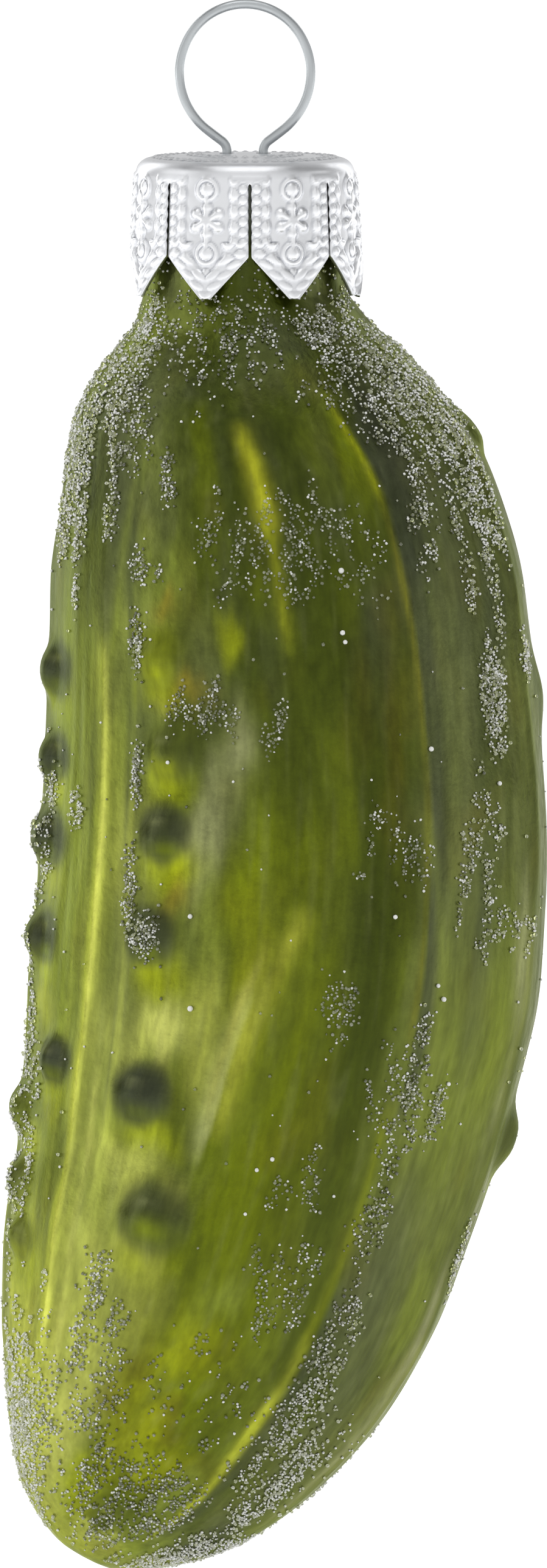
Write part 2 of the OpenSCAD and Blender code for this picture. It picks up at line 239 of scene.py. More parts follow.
# Levels
side_x = LOOP_TOP_R * deg_sin(SIDE_TURN)
side_z = WIRE_R - LOOP_TOP_R * (1 - deg_cos(SIDE_TURN))
slant_x = side_x + LOOP_SIDE_R * (deg_sin(FOOT_TURN) - deg_sin(SIDE_TURN))
slant_z = side_z - LOOP_SIDE_R * (deg_cos(SIDE_TURN) - deg_cos(FOOT_TURN))
slant_l = (slant_x - HOLE_X - LOOP_FOOT_R * (1 - deg_sin(FOOT_TURN))) / -deg_cos(FOOT_TURN)
stem_z = slant_z - slant_l * deg_sin(FOOT_TURN) + LOOP_FOOT_R * deg_cos(FOOT_TURN)
roof_z = stem_z - FOOT_PLAY
edge_z = roof_z - DOME_H
tip_z = edge_z - SKIRT_H
top_z = edge_z - SHOULDER_R
body_z = tip_z + POINT_REACH
slit_z = edge_z - SLIT_DROP
point_z = tip_z + POINT_H
rim_z = edge_z - SHEET_T - RIM_PLAY
leg_x = BORE_R - LEG_PLAY - WIRE_R

stations = np.array(
    [(x * BODY_L, d * BODY_L, FOOT_R + g * (BODY_R - FOOT_R), t) for x, d, g, t in UPPER_SHARES]
    + [(x * BODY_L, d * BODY_L, g * BODY_R, t) for x, d, g, t in LOWER_SHARES]
)
LAST = len(stations) - 1


def smooth(column, u):
    """A smooth curve through one column of the stations."""
    u = np.asarray(u, dtype=float)
    i = np.minimum(np.floor(u).astype(int), LAST - 1)
    f = u - i
    v = stations[:, column]
    a, b, d, e = (v[np.clip(i + k, 0, LAST)] for k in (-1, 0, 1, 2))
    return b + f / 2 * (d - a + f * (2 * a - 5 * b + 4 * d - e + f * (3 * b - a - 3 * d + e)))


def station_of(drop):
    return np.interp(drop, stations[:, 1], np.arange(LAST + 1))


def radius_at(drop):
    return np.interp(drop, stations[:, 1], stations[:, 2])


def flat_part(q):
    turn = (q - RIB_TURN) * RIB_COUNT / 360
    f = np.abs(turn - np.round(turn)) * 2
    return 1 - (1 - f) ** 2


def skin_point(u, q, inset=0.0):
    """Points of the plain form at stations u and angles q, as an array with x, y and z last."""
    drop = smooth(1, u)
    tilt = smooth(3, u)
    fade = ramp(drop / BODY_L, FADE_TOP_SHARE, FADE_END_SHARE - FADE_TOP_SHARE)
    nose = ramp(drop / BODY_L, NOSE_TOP_SHARE, 1 - NOSE_TOP_SHARE)
    w = smooth(2, u) * (1 - RIB_DEPTH_SHARE * fade * flat_part(q)) - inset
    depth = w + (w + inset) * (DEPTH_SHARE - 1) * fade
    x = smooth(0, u) + w * deg_sin(q) * deg_cos(tilt)
    z = body_z - drop + inset * nose + w * deg_sin(q) * deg_sin(tilt)
    return stack(x, -depth * deg_cos(q), z)


def outward(u, q):
    tilt = smooth(3, u)
    return stack(deg_sin(q) * deg_cos(tilt), -deg_cos(q), deg_sin(q) * deg_sin(tilt))


def along_path(path, drop_share):
    """The angle of a line at a height, and 1 where the line runs, fading at its two ends."""
    drops = [p[0] for p in path]
    angle = np.interp(drop_share, drops, [p[1] for p in path])
    top = clamp((drop_share - drops[0]) / LINE_END_SHARE + 0.5)
    return angle, top * clamp((drops[-1] - drop_share) / LINE_END_SHARE + 0.5)


def wobble(drop, q):
    """Unevenness between about -1 and 1: seven long waves, each with its own turns round the neck."""
    rng = random.Random(3)
    total = 0.0
    for _ in range(7):
        lengthwise = 2 * math.pi / (14.0 * rng.uniform(0.6, 1.6))
        around = rng.choice((2, 3, 5, 6, 9))
        total = total + np.sin(drop * lengthwise + np.radians(q) * around + rng.uniform(0, 6.28))
    return total / 4.0


def film(drop, q, cross, length, seed):
    """Smooth noise between about -1 and 1 over the skin, in cells of a width and a length."""
    drop, q = np.broadcast_arrays(np.asarray(drop, dtype=float), np.asarray(q, dtype=float))
    radius = radius_at(drop)
    x = radius / cross * deg_sin(q)
    y = radius / cross * deg_cos(q)
    z = drop / length + 17.3 * seed
    values = [noise.noise(p) for p in zip(x.ravel(), y.ravel(), z.ravel())]
    return 1.7 * np.array(values).reshape(drop.shape)


def relief(u, q):
    """How far the skin stands out from the plain form: warts, swellings, ridges and unevenness."""
    drop = smooth(1, u)
    share = drop / BODY_L
    radius = np.maximum(0.5, smooth(2, u))
    fade = ramp(share, 0.03, 0.1) * clamp((0.99 - share) / 0.05)
    out = 0.05 * wobble(drop, q) * fade
    out = out + 0.05 * film(drop, q, 2.2, 9.0, 31) * fade
    out = out + 0.018 * film(drop, q, 0.8, 7.0, 32) * fade
    for s, a, size, _ in WART_SHARES:
        gap = np.hypot(drop - s * BODY_L, np.radians(angle_gap(q, a)) * radius)
        out = out + WART_H * size * bell(gap / (0.76 * (WART_R * size)), 2.8)
    for s, a, r, h in SWELL_SHARES:
        gap = np.hypot((drop - s * BODY_L) * 0.8, np.radians(angle_gap(q, a)) * radius)
        out = out + h * bell(gap / (0.7 * r))
    for half, h, path in RIDGES:
        angle, ends = along_path(path, share)
        across = np.radians(angle_gap(q, angle)) * radius
        out = out + h * ends * bell(across / half)
        out = out - GROOVE_DEPTH * ends * bell((across - GROOVE_SIDE * half) / (0.8 * half))
    return out


def skin(u, q):
    return skin_point(u, q) + outward(u, q) * relief(u, q)[..., None]


# Patches of colour on the lacquer, partly its own mottled paint and partly painted highlights, painted
# reflections
# and painted shade: drop in thousandths of the height, angle, reach of each, strength, and the colour
GLOW = [
    (30, -62, 30, 18, 0.8, PALE), (20, -30, 20, 16, 0.6, PALE), (25, 12, 20, 14, 0.6, DUSK),
    (100, -62, 35, 10, 0.5, DUSK), (60, -42, 20, 6, 0.4, DUSK), (130, -38, 30, 7, 0.6, PALE),
    (45, -14, 30, 10, 0.8, DEEP), (60, 2, 45, 14, 0.8, SHADE), (110, 3, 30, 9, 0.6, SHADE),
    (185, -4, 35, 9, 0.5, SHADE), (130, -56, 65, 10, 0.5, MOSS), (120, -47, 50, 3, 0.5, MOSS),
    (55, -38, 25, 12, 0.4, MOSS), (160, -35, 70, 4, 0.3, MOSS), (120, 36, 70, 5, 0.7, DUSK),
    (280, -48, 35, 8, 0.5, SAGE), (305, -63, 35, 6, 0.6, SAGE), (215, -29, 30, 4, 0.7, PALE),
    (225, -6, 20, 3, 0.5, LIT), (275, -13, 35, 4, 0.8, DEEP), (295, -21, 20, 4, 0.5, MOSS),
    (425, -43, 40, 3, 0.5, LIME), (670, -50.5, 200, 3, 0.5, LIME), (585, -40, 30, 8, 0.6, LIME),
    (560, -73, 70, 7, 0.7, SAGE), (545, -29, 20, 4, 0.6, GREEN), (655, -29, 16, 4, 0.5, GREEN),
    (470, 3, 30, 4, 0.8, GREEN), (550, 8, 40, 5, 0.5, GREEN), (620, -13, 60, 4, 0.5, PALE),
    (745, 10, 30, 4, 0.5, GREEN), (705, -33, 20, 5, 0.6, LIME), (705, -19, 14, 4, 0.8, STRAW),
    (775, -38, 30, 6, 0.5, LIME), (800, -22, 35, 7, 0.6, STRAW), (870, -30, 40, 10, 0.6, LIME),
    (920, -62, 55, 14, 0.7, WHITISH), (905, -42, 30, 10, 0.5, WHITISH), (970, -4, 12, 20, 0.7, LIME),
    (840, 41, 50, 7, 0.75, MOSS), (750, 38, 30, 4, 0.5, MOSS), (935, 50, 22, 8, 0.7, MOSS),
    (100, 5, 22, 6, 0.9, DEEP), (100, -13, 30, 4, 0.6, DEEP), (115, -21, 35, 3, 0.5, LIT),
    (120, 12, 40, 4, 0.4, LIT), (115, 22, 30, 3, 0.8, LIT), (100, 33, 40, 5, 0.8, DUSK),
    (160, -12, 60, 3, 0.6, DEEP), (170, 2, 50, 3, 0.8, DEEP), (220, -36, 30, 5, 0.8, PALE),
    (235, -32, 10, 3, 0.5, AMBER), (262, -28, 12, 4, 0.6, DEEP), (254, -16, 20, 2, 0.7, BRIGHT),
    (245, -15, 10, 2, 0.45, BRIGHT), (275, -22, 30, 4, 0.6, SAGE), (268, -35, 16, 5, 0.8, BRIGHT),
    (300, -28, 10, 6, 0.5, AMBER), (292, -37, 12, 5, 0.6, BRIGHT), (335, -28, 18, 6, 0.7, DEEP),
    (362, -33, 12, 4, 0.9, BRIGHT), (375, -28, 14, 4, 0.7, LIT), (345, -13, 30, 3.2, 0.9, ASH),
    (390, -19, 40, 4, 0.6, ASH), (430, -21, 35, 4, 0.9, ASH), (443, -29, 12, 6, 0.9, BRIGHT),
    (462, -29, 12, 4, 0.5, AMBER), (455, -38, 12, 4, 0.5, PALE), (500, -19, 50, 4, 0.8, PALE),
    (535, -30, 22, 6, 0.6, BRIGHT), (550, -19, 30, 4, 0.9, STRAW), (575, -28, 18, 5, 0.9, WHITISH),
    (590, -36, 20, 4, 0.7, LIME), (600, -17, 30, 4, 0.8, STRAW), (665, -27, 12, 6, 0.6, BRIGHT),
    (685, -32, 14, 7, 0.9, LIME), (660, -42, 20, 4, 0.5, PALE), (762, -24, 14, 8, 0.8, STRAW),
    (765, -38, 30, 5, 0.8, LIME), (720, -60, 30, 5, 0.4, GREEN), (330, 4, 140, 9, 0.7, GREEN),
    (260, 8, 70, 8, 0.6, DEEP), (400, 18, 100, 7, 0.7, DEEP), (450, 9, 40, 4, 0.4, GREEN),
    (330, 23, 80, 3, 0.5, OLIVE), (250, 22, 50, 4, 0.5, DUSK), (310, 14, 50, 3, 0.4, OLIVE),
    (450, -9, 50, 5, 0.9, LIT), (420, 2, 30, 4, 0.6, LIT), (530, -8, 50, 4, 0.7, LEMON),
    (520, 4, 50, 5, 0.6, LIT), (620, -3, 80, 6, 0.7, LIT), (660, -12, 50, 3, 0.5, PALE),
    (720, -3, 40, 5, 0.6, LIT), (770, 1, 16, 4, 0.7, PALE), (780, 12, 20, 5, 0.4, LIT),
    (500, 18, 70, 5, 0.8, DEEP), (580, 17, 60, 4, 0.8, DEEP), (700, 19, 50, 5, 0.7, DEEP),
    (745, -13, 20, 5, 0.6, GREEN), (735, -19, 14, 4, 0.7, DEEP), (770, 23, 30, 4, 0.6, DEEP),
    (360, 38, 100, 6, 0.5, SAGE), (560, 37, 80, 6, 0.8, PALE), (550, 58, 80, 6, 0.7, PALE),
    (510, 66, 30, 4, 0.7, ASH), (630, 47, 60, 7, 0.6, PALE), (720, 40, 60, 8, 0.6, MOSS),
    (750, 57, 30, 5, 0.6, PALE), (800, 48, 40, 4, 0.6, MOSS), (830, 36, 30, 5, 0.8, GREEN),
    (870, 37, 40, 5, 0.5, GREEN), (905, 33, 25, 7, 0.8, GREEN), (930, 45, 30, 8, 0.5, MOSS),
    (830, 68, 50, 6, 0.6, ASH), (240, 45, 60, 8, 0.6, MOSS), (230, 66, 40, 8, 0.5, MOSS),
    (130, 40, 40, 6, 0.5, DUSK), (300, 70, 60, 6, 0.4, SAGE), (400, 64, 50, 7, 0.4, SAGE),
    (820, -3, 18, 5, 0.8, LEMON), (835, -8, 12, 4, 0.6, BRIGHT), (860, -15, 30, 6, 0.7, LEMON),
    (860, 6, 40, 8, 0.7, LIT), (850, 12, 30, 5, 0.5, GREEN), (885, -4, 16, 6, 0.8, LEMON),
    (900, 9, 14, 5, 0.7, LEMON), (905, -12, 20, 6, 0.7, LEMON), (940, 4, 14, 8, 0.9, GREEN),
    (925, 17, 20, 6, 0.6, PALE), (957, 7, 10, 8, 0.8, GREEN), (945, -22, 16, 9, 0.7, BRIGHT),
    (965, 24, 14, 12, 0.8, PALE), (550, -66, 30, 6, 0.5, PALE), (575, -76, 20, 6, 0.8, LIME),
    (655, -64, 20, 6, 0.8, LEMON), (460, -76, 14, 6, 0.8, STRAW), (330, -76, 14, 6, 0.7, PALE),
    (390, -76, 12, 6, 0.8, STRAW), (700, -76, 12, 8, 0.7, LIME), (800, -63, 20, 6, 0.6, BRIGHT),
    (285, -42, 30, 3, 0.5, PALE), (280, -60, 50, 6, 0.4, PALE), (200, -58, 50, 6, 0.5, GREEN),
    (60, 57, 20, 6, 0.5, DUSK), (140, -56, 30, 7, 0.5, DUSK), (665, -12, 14, 4, 0.6, LIT),
    (940, 50, 20, 8, 0.8, DUSK), (920, -60, 30, 14, 0.3, WHITISH), (745, -35, 14, 4, 0.4, PALE),
    (620, -8, 30, 3, 0.3, PALE), (360, 10, 30, 3, 0.35, LIT), (410, 12, 25, 2.5, 0.4, LIT),
    (680, 8, 20, 3, 0.4, GREEN), (220, 14, 20, 3, 0.35, LIT), (840, -16, 12, 4, 0.5, OLIVE),
    (875, 2, 10, 4, 0.5, OLIVE), (910, 0, 12, 5, 0.5, BRIGHT), (870, -22, 12, 5, 0.5, OLIVE),
    (800, -8, 14, 4, 0.35, BRIGHT),
]
# Painted highlights along the ridges, and darker lines of painted shade beside some: share of the way to its
# colour, half width in degrees, the path and the colour
STREAKS = [
    (0.5, 1.6, [(0.16, -44), (0.24, -46), (0.30, -49)], (128, 140, 50)),
    (0.65, 2.6, [(0.27, -51), (0.34, -49), (0.45, -48.5), (0.56, -50), (0.66, -51), (0.75, -51),
                 (0.82, -50), (0.90, -48), (0.94, -46)], (164, 172, 62)),
    (0.75, 0.9, [(0.28, -50), (0.40, -49), (0.50, -49.5), (0.58, -50.5), (0.66, -51), (0.75, -51),
                 (0.86, -49)], (208, 212, 96)),
    (0.6, 1.8, [(0.40, -42), (0.50, -41.5), (0.60, -41), (0.70, -41), (0.80, -41), (0.93, -39)],
     (168, 176, 78)),
    (0.5, 1.2, [(0.62, -45), (0.70, -45.5), (0.80, -45), (0.88, -43)], (190, 194, 96)),
    (0.4, 1.5, [(0.34, -58), (0.45, -58), (0.56, -59), (0.70, -60), (0.80, -59)], (144, 152, 70)),
    (1.0, 2.3, [(0.105, -8), (0.13, -6.5), (0.15, -5), (0.172, -4)], (196, 198, 44)),
    (0.7, 1.6, [(0.165, -4), (0.20, -3), (0.22, -2.5), (0.26, -1)], (128, 134, 26)),
    (0.65, 2.7, [(0.475, 2), (0.49, 0), (0.52, -4), (0.56, -7.5), (0.60, -9.5), (0.645, -11)],
     (160, 164, 52)),
    (0.5, 1.2, [(0.50, -6), (0.54, -10), (0.59, -13), (0.63, -14.5)], (166, 166, 76)),
    (0.9, 1.1, [(0.085, 22), (0.12, 24.5), (0.155, 26.5)], (142, 148, 22)),
    (0.7, 0.8, [(0.155, 26.5), (0.20, 28), (0.30, 30), (0.40, 30.5), (0.48, 30), (0.56, 29.5)],
     (112, 112, 36)),
    (0.5, 0.9, [(0.10, -41), (0.20, -42), (0.30, -42.5), (0.42, -42.5), (0.52, -42), (0.64, -41.5)],
     (66, 74, 42)),
    (0.5, 2.4, [(0.12, 30), (0.20, 33), (0.30, 34.5), (0.40, 34.5), (0.50, 33.5), (0.60, 33)],
     (58, 63, 44)),
    (0.5, 1.2, [(0.62, 27.5), (0.70, 27.5), (0.75, 26), (0.80, 25)], (118, 126, 22)),
    (0.9, 1.4, [(0.79, 25.5), (0.83, 24.5), (0.87, 24.5), (0.91, 25), (0.95, 24)], (156, 162, 46)),
    (0.6, 1.6, [(0.44, 64), (0.52, 65), (0.62, 66)], (142, 146, 100)),
    (0.6, 1.6, [(0.72, 66), (0.84, 66), (0.92, 64)], (146, 148, 108)),
    (0.5, 1.4, [(0.40, 30.5), (0.50, 36), (0.62, 37), (0.70, 34)], (116, 126, 54)),
]
# Brush strokes with one sharp edge: share of the way to their colour, reach in degrees to the right
# of the edge (below 0 to its left), the path of the edge and the colour
STROKES = [
    (0.7, 11, [(0.55, -8), (0.60, -11), (0.66, -13.5), (0.72, -15.5), (0.77, -16.5)], (86, 98, 6)),
    (0.6, -3.5, [(0.54, -7.5), (0.60, -11), (0.64, -12.5), (0.665, -13.5)], (170, 174, 118)),
    (0.6, 5, [(0.10, 25), (0.155, 27.5), (0.20, 29), (0.30, 31), (0.40, 31.5), (0.50, 31), (0.62, 30)],
     (66, 71, 56)),
    (0.6, 8, [(0.74, 28), (0.80, 27), (0.86, 26), (0.91, 26.5), (0.95, 25.5)], (66, 73, 48)),
    (0.5, 4, [(0.26, -40.5), (0.36, -40.5), (0.46, -40.5), (0.56, -40), (0.62, -39.5)], (78, 86, 46)),
    (0.4, -4, [(0.30, -53), (0.45, -52), (0.60, -53), (0.75, -54), (0.86, -53)], (100, 110, 52)),
    (0.5, 4, [(0.08, -13), (0.14, -8.5), (0.18, -6.5), (0.22, -5)], (60, 68, 20)),
    (0.5, 7, [(0.30, 12), (0.40, 14), (0.52, 15), (0.64, 16), (0.72, 16)], (62, 72, 18)),
]
# Ridges of the back, each with a painted highlight line and a dark stroke of painted shade just beside it:
# half width, height, where the bright line starts, its share, half width in degrees and colour, and the path
# of both
for half, height, start, share, turn, rgb, path in (
    (0.8, 0.09, 0.12, 0.8, 2.0, (160, 168, 48),
     [(0.12, 111), (0.30, 109), (0.50, 110), (0.75, 108), (0.92, 112)]),
    (0.8, 0.09, 0.14, 0.5, 1.5, (130, 122, 40), [(0.14, 152), (0.35, 149), (0.60, 151), (0.90, 150)]),
    (0.9, 0.10, 0.20, 0.9, 2.1, (172, 180, 56),
     [(0.12, 189), (0.30, 190), (0.45, 188), (0.70, 191), (0.93, 189)]),
    (0.8, 0.09, 0.16, 0.7, 1.7, (150, 158, 46), [(0.16, 229), (0.40, 231), (0.60, 229), (0.90, 230)]),
    (0.8, 0.08, 0.30, 0.6, 1.6, (158, 164, 80), [(0.20, 268), (0.45, 270), (0.70, 269), (0.88, 270)]),
):
    RIDGES.append((half, height, path))
    STREAKS.append((share, turn, [(start, path[0][1])] + path[1:], rgb))
    STROKES.append((0.55, 6, [(s, a + 1.5) for s, a in path], (66, 74, 40)))


def toward(colour, share, rgb):
    """Colours moved towards one colour by a share."""
    return colour + (linear(rgb) - colour) * clamp(share)[..., None]


def lacquer(u, q):
    """The colour of the lacquer at stations u and angles q."""
    drop = smooth(1, u)
    s = drop / BODY_L
    radius = np.maximum(0.5, smooth(2, u))
    q = np.broadcast_to(q, np.broadcast(u, q).shape).astype(float)
    broad = film(drop, q, 2.6, 26.0, 1)
    medium = film(drop, q, 1.3, 6.5, 2)
    feather = film(drop, q, 0.75, 4.5, 3)
    blots = film(drop, q, 2.8, 4.5, 4)
    veil = film(drop, q, 2.2, 10.0, 5)
    fine = film(drop, q, 0.5, 9.0, 6)
    hair = film(drop, q, 0.38, 3.5, 7)
    # the brush pulls the patches out along the pickle and leaves their edges uneven
    s_of = s + 0.006 * feather + 0.008 * medium + 0.006 * blots
    q_of = q + 1.0 * medium + 1.3 * blots

    def patch(s0, a, reach, turn, power):
        gap = ((s_of - s0) / reach) ** 2 + (angle_gap(q_of, a) / turn) ** 2
        return np.exp(-0.7 * gap ** power)

    front = bell(angle_gap(q, -1) / 17)
    left = clamp(-angle_gap(q_of, -22) / 16) * clamp(angle_gap(q, -150) / 40)
    right = clamp(angle_gap(q_of, 27) / 10) * clamp(-angle_gap(q, 150) / 40)
    back = clamp((np.abs(angle_gap(q, 190)) - 90) / -40)
    slaty = clamp((0.62 - s) / 0.2) * 0.25 + 0.25
    colour = np.broadcast_to(linear(GREEN), q.shape + (3,)).copy()
    # the greyer left and right flanks are a painted sheen, and the brighter lower left and lower parts are
    # painted reflections
    for share, rgb in (
        (left * 0.9, (92, 98, 56)),
        (left * ramp(s_of, 0.22, 0.1), (126, 137, 54)),
        (clamp(-angle_gap(q_of, -8) / 26) * left * ramp(s_of, 0.70, 0.14) * 0.95, (172, 177, 76)),
        (right * 0.85, (94, 100, 60)),
        (right * ramp(s_of, 0.55, 0.15) * 0.6, (92, 100, 46)),
        (front * ramp(s_of, 0.38, 0.14) * 0.8, (98, 108, 6)),
        (ramp(s_of, 0.955, 0.02) * 0.8, (156, 162, 64)),
        (0.7 * back * (0.5 + 0.5 * np.sin(np.radians(q_of * 4.5) + 1)), (112, 122, 50)),
        (0.8 * back * ramp(s_of, 0.72, 0.14), (142, 148, 52)),
        (clamp(1.3 * broad - 0.05) * 0.45, DEEP),
        (clamp(-1.3 * broad - 0.15) * 0.35, PALE),
        (clamp(1.5 * blots - 0.35) * 0.35, OLIVE),
        (clamp(1.4 * veil - 0.1) * slaty, (64, 70, 50)),
    ):
        colour = toward(colour, share, rgb)
    # patches at random over the back
    rng = random.Random(21)
    for _ in range(46):
        s0 = rng.uniform(0.06, 0.93)
        a = rng.uniform(92, 262)
        mask = patch(s0, a, rng.uniform(0.02, 0.09), rng.uniform(3, 9), 1)
        rgb = rng.choice((DEEP, DUSK, BRIGHT, PALE, ASH, OLIVE, LIT))
        colour = toward(colour, rng.uniform(0.4, 0.85) * mask, rgb)
    # the listed patches: the lacquer's paint, painted highlights, painted reflections and painted shade
    for s0, a, reach, turn, strength, rgb in GLOW:
        colour = toward(colour, strength * patch(s0 / 1000, a, reach / 1000, turn, 1.2), rgb)
    for share, reach, path, rgb in STROKES:
        angle, ends = along_path(path, s)
        across = angle_gap(q + 0.3 * medium, angle) * math.copysign(1.0, reach)
        fade = bell(np.maximum(across, 0.0) / reach)
        colour = toward(colour, share * ends * (1 + 0.3 * feather) * clamp(across / 0.9 + 0.5) * fade, rgb)
    for share, half, path, rgb in STREAKS:
        angle, ends = along_path(path, s)
        across = angle_gap(q + 0.35 * medium, angle)
        uneven = 1.0 + 0.35 * medium + 0.25 * blots
        # each line is a painted highlight, or painted shade where its colour is dark, and a faint line of
        # painted shade runs beside it
        colour = toward(colour, share * ends * uneven * bell(np.abs(across / half), 1.6), rgb)
        colour = toward(colour, 0.22 * share * ends * bell((across - 2.6 * half) / half), DUSK)
    for s0, a, size, dark in WART_SHARES:
        r = WART_R * size
        down = (drop - s0 * BODY_L) / r + 0.08 * blots
        # the dark crowns of the warts at the left edge, their paint and their painted shade, run a little
        # forward
        lean, wide = (8, 1.35) if -90 < a < -80 else (3, 1.4) if -80 < a < -60 else (0, 1.0)
        big = 1.5 if size > 1.2 else 1.0
        across = np.radians(angle_gap(q, a + lean)) * radius / r / wide + 0.10 * medium
        crown = spot(down, across, -0.12, 0.0, 1.0, 1.0, 3.2)
        lit = spot(down, across, 0.42 / big, 0.1, 0.26 * big, 0.42 * big)
        # below each wart a painted reflection, a dark crown that is partly the wart's paint and partly
        # painted shade on its upper side, a painted highlight low in the middle, a painted glint at the
        # upper left, and a lit green over the upper part of paler crowns
        for share, rgb in (
            (0.5 * spot(down, across, 1.15, 0.1, 0.5, 0.75) * (1 + blots), BRIGHT),
            (dark * crown, SLATE),
            (0.6 * lit * (1 + blots), BRIGHT if dark < 0.7 else LIT),
            (0.35 * spot(down, across, -0.45, -0.2, 0.13, 0.32), ASH),
            ((1 - dark) * 0.5 * crown * clamp(0.5 - down), LIT),
        ):
            colour = toward(colour, share, rgb)
    colour = toward(colour, clamp(1.5 * fine - 0.5) * 0.09, ASH)
    colour = toward(colour, clamp(-1.5 * fine - 0.45) * 0.13, DEEP)
    tone = 0.92 + 0.06 * medium + 0.05 * feather + 0.06 * blots + 0.02 * fine + 0.05 * hair
    # the right edge, turned away from the lamps, is painted darker as shade
    edge = ramp(q, 66, 12) * clamp((112 - q) / 10) * clamp((0.78 - s) / 0.1) * ramp(s, 0.12, 0.05)
    return colour * (tone * (1 - 0.35 * edge))[..., None]


def new_object(name, verts, faces):
    """A smooth mesh object from points in millimetres."""
    mesh = bpy.data.meshes.new(name)
    mesh.from_pydata((np.asarray(verts, dtype=float) * MM).tolist(), [], faces)
    mesh.validate()
    mesh.update()
    mesh.polygons.foreach_set("use_smooth", [True] * len(mesh.polygons))
    obj = bpy.data.objects.new(name, mesh)
    bpy.context.scene.collection.objects.link(obj)
    return obj


def ring_faces(rows, cols, first=0):
    """Quads between rows of points that run all the way round."""
    return [(a + k, a + (k + 1) % cols, a + cols + (k + 1) % cols, a + cols + k)
            for a in range(first, first + (rows - 1) * cols, cols) for k in range(cols)]


def set_colours(mesh, name, colours):
    layer = mesh.color_attributes.new(name, "FLOAT_COLOR", "POINT")
    rgba = np.ones((len(mesh.vertices), 4))
    rgba[:, :3] = colours
    layer.data.foreach_set("color", rgba.ravel())


def pickle_rows():
    """Stations for the rows of the skin, evenly spaced along its length and closer at the nose."""
    fine = np.linspace(0, LAST, 4000)
    points = skin_point(fine, 90.0) - skin_point(fine, -90.0)
    half = np.linalg.norm(points, axis=-1) / 2
    step = np.hypot(np.gradient(smooth(1, fine)), np.gradient(half))
    length = np.concatenate([[0], np.cumsum(step[1:])])
    return np.interp(np.linspace(0, length[-1], SKIN_ROWS + 1)[:-1], length, fine)


# The neck's rim and rows, in millimetres over the body, and where its silver, painted darker as the shade
# under the cap, turns green
RIM_ROUND = 0.3
RIM_BEAD = 0.16
NECK_ROWS = (7.4, 6.0, 4.5, 3.0, 2.0, 1.5, 1.0, 0.8, 0.6, 0.4, 0.2)
SILVER_UP = 5.2
SILVER_FADE = 2.0
NECK_FLARE = 0.11


def build_glass():
    # the columns stand closer together at the front
    turns = 2 * math.pi * np.arange(SKIN_COLS) / SKIN_COLS
    q = np.degrees(turns - FRONT_SHARE * np.sin(turns))
    green = lacquer(np.zeros(SKIN_COLS), q)
    # the silver of the neck is painted darker as painted shade under the cap
    silver = np.broadcast_to(linear(NECK_SILVER), (SKIN_COLS, 3))
    neck = [ring(NECK_R - RIM_ROUND + RIM_ROUND * deg_sin(a), q, rim_z - RIM_BEAD - RIM_BEAD * deg_cos(a))
            for a in (150, 90, 30)]
    neck[0][:, 2] = rim_z
    tints = [silver] * 3
    for up in NECK_ROWS:
        flare = max(0.0, 1.0 - up)
        neck.append(ring(NECK_R + NECK_FLARE * flare ** 2 + 0.01 * flare ** 3, q, body_z + up))
        t = clamp((SILVER_UP - up) / SILVER_FADE)
        tints.append(silver * (1 - t) + green * t)
    rows = pickle_rows()
    grid = np.meshgrid(rows, q, indexing="ij")
    end = skin_point(np.array(float(LAST)), 0.0)
    end_tint = lacquer(np.array(LAST - 0.05), np.array(0.0))

    cavity = np.linspace(CAVITY_TOP_SHARE * LAST, CAVITY_END_SHARE * LAST, CAVITY_ROWS)[::-1]
    inner = [skin_point(np.full(SKIN_COLS, u), q, GLASS_T) for u in cavity]
    inner_end = (inner[0][0] + inner[0][SKIN_COLS // 2]) / 2
    inner += [ring(BORE_R, q, z) for z in np.linspace(body_z + 0.1, rim_z - 0.3, 6)]
    inner.append(ring(BORE_R + 0.1, q, rim_z - 0.08))

    # outside from the rim down, its end, the end of the hollow, and the inside from there up
    verts = np.concatenate(neck + [skin(*grid).reshape(-1, 3), end[None], inner_end[None]] + inner)
    count = len(neck) + len(rows)
    tip = count * SKIN_COLS
    first = tip + 2
    last = first + (len(inner) - 1) * SKIN_COLS
    pairs = [(k, (k + 1) % SKIN_COLS) for k in range(SKIN_COLS)]
    faces = ring_faces(count, SKIN_COLS)
    faces += [(tip - SKIN_COLS + k, tip - SKIN_COLS + m, tip) for k, m in pairs]
    faces += ring_faces(len(inner), SKIN_COLS, first)
    faces += [(tip + 1, first + m, first + k) for k, m in pairs]
    faces += [(last + k, last + m, m, k) for k, m in pairs]
    obj = new_object("pickle_glass", verts, [f[::-1] for f in faces])

    inside = 1 + len(inner) * SKIN_COLS
    tints += [lacquer(*grid).reshape(-1, 3), end_tint[None], np.broadcast_to(linear(SILVER), (inside, 3))]
    set_colours(obj.data, "lacquer", np.concatenate(tints))
    # places on an unrolled pickle, in metres, that the brush marks of the material follow
    drops = [body_z - row[:, 2] for row in neck]
    drops = np.concatenate(drops + [np.repeat(smooth(1, rows), SKIN_COLS), [BODY_L], np.zeros(inside)])
    angles = np.concatenate([np.tile(q, count), np.zeros(1 + inside)])
    layer = obj.data.attributes.new("flow", "FLOAT_VECTOR", "POINT")
    layer.data.foreach_set("vector", (ring(radius_at(drops), angles, -drops) * MM).ravel())
    return obj


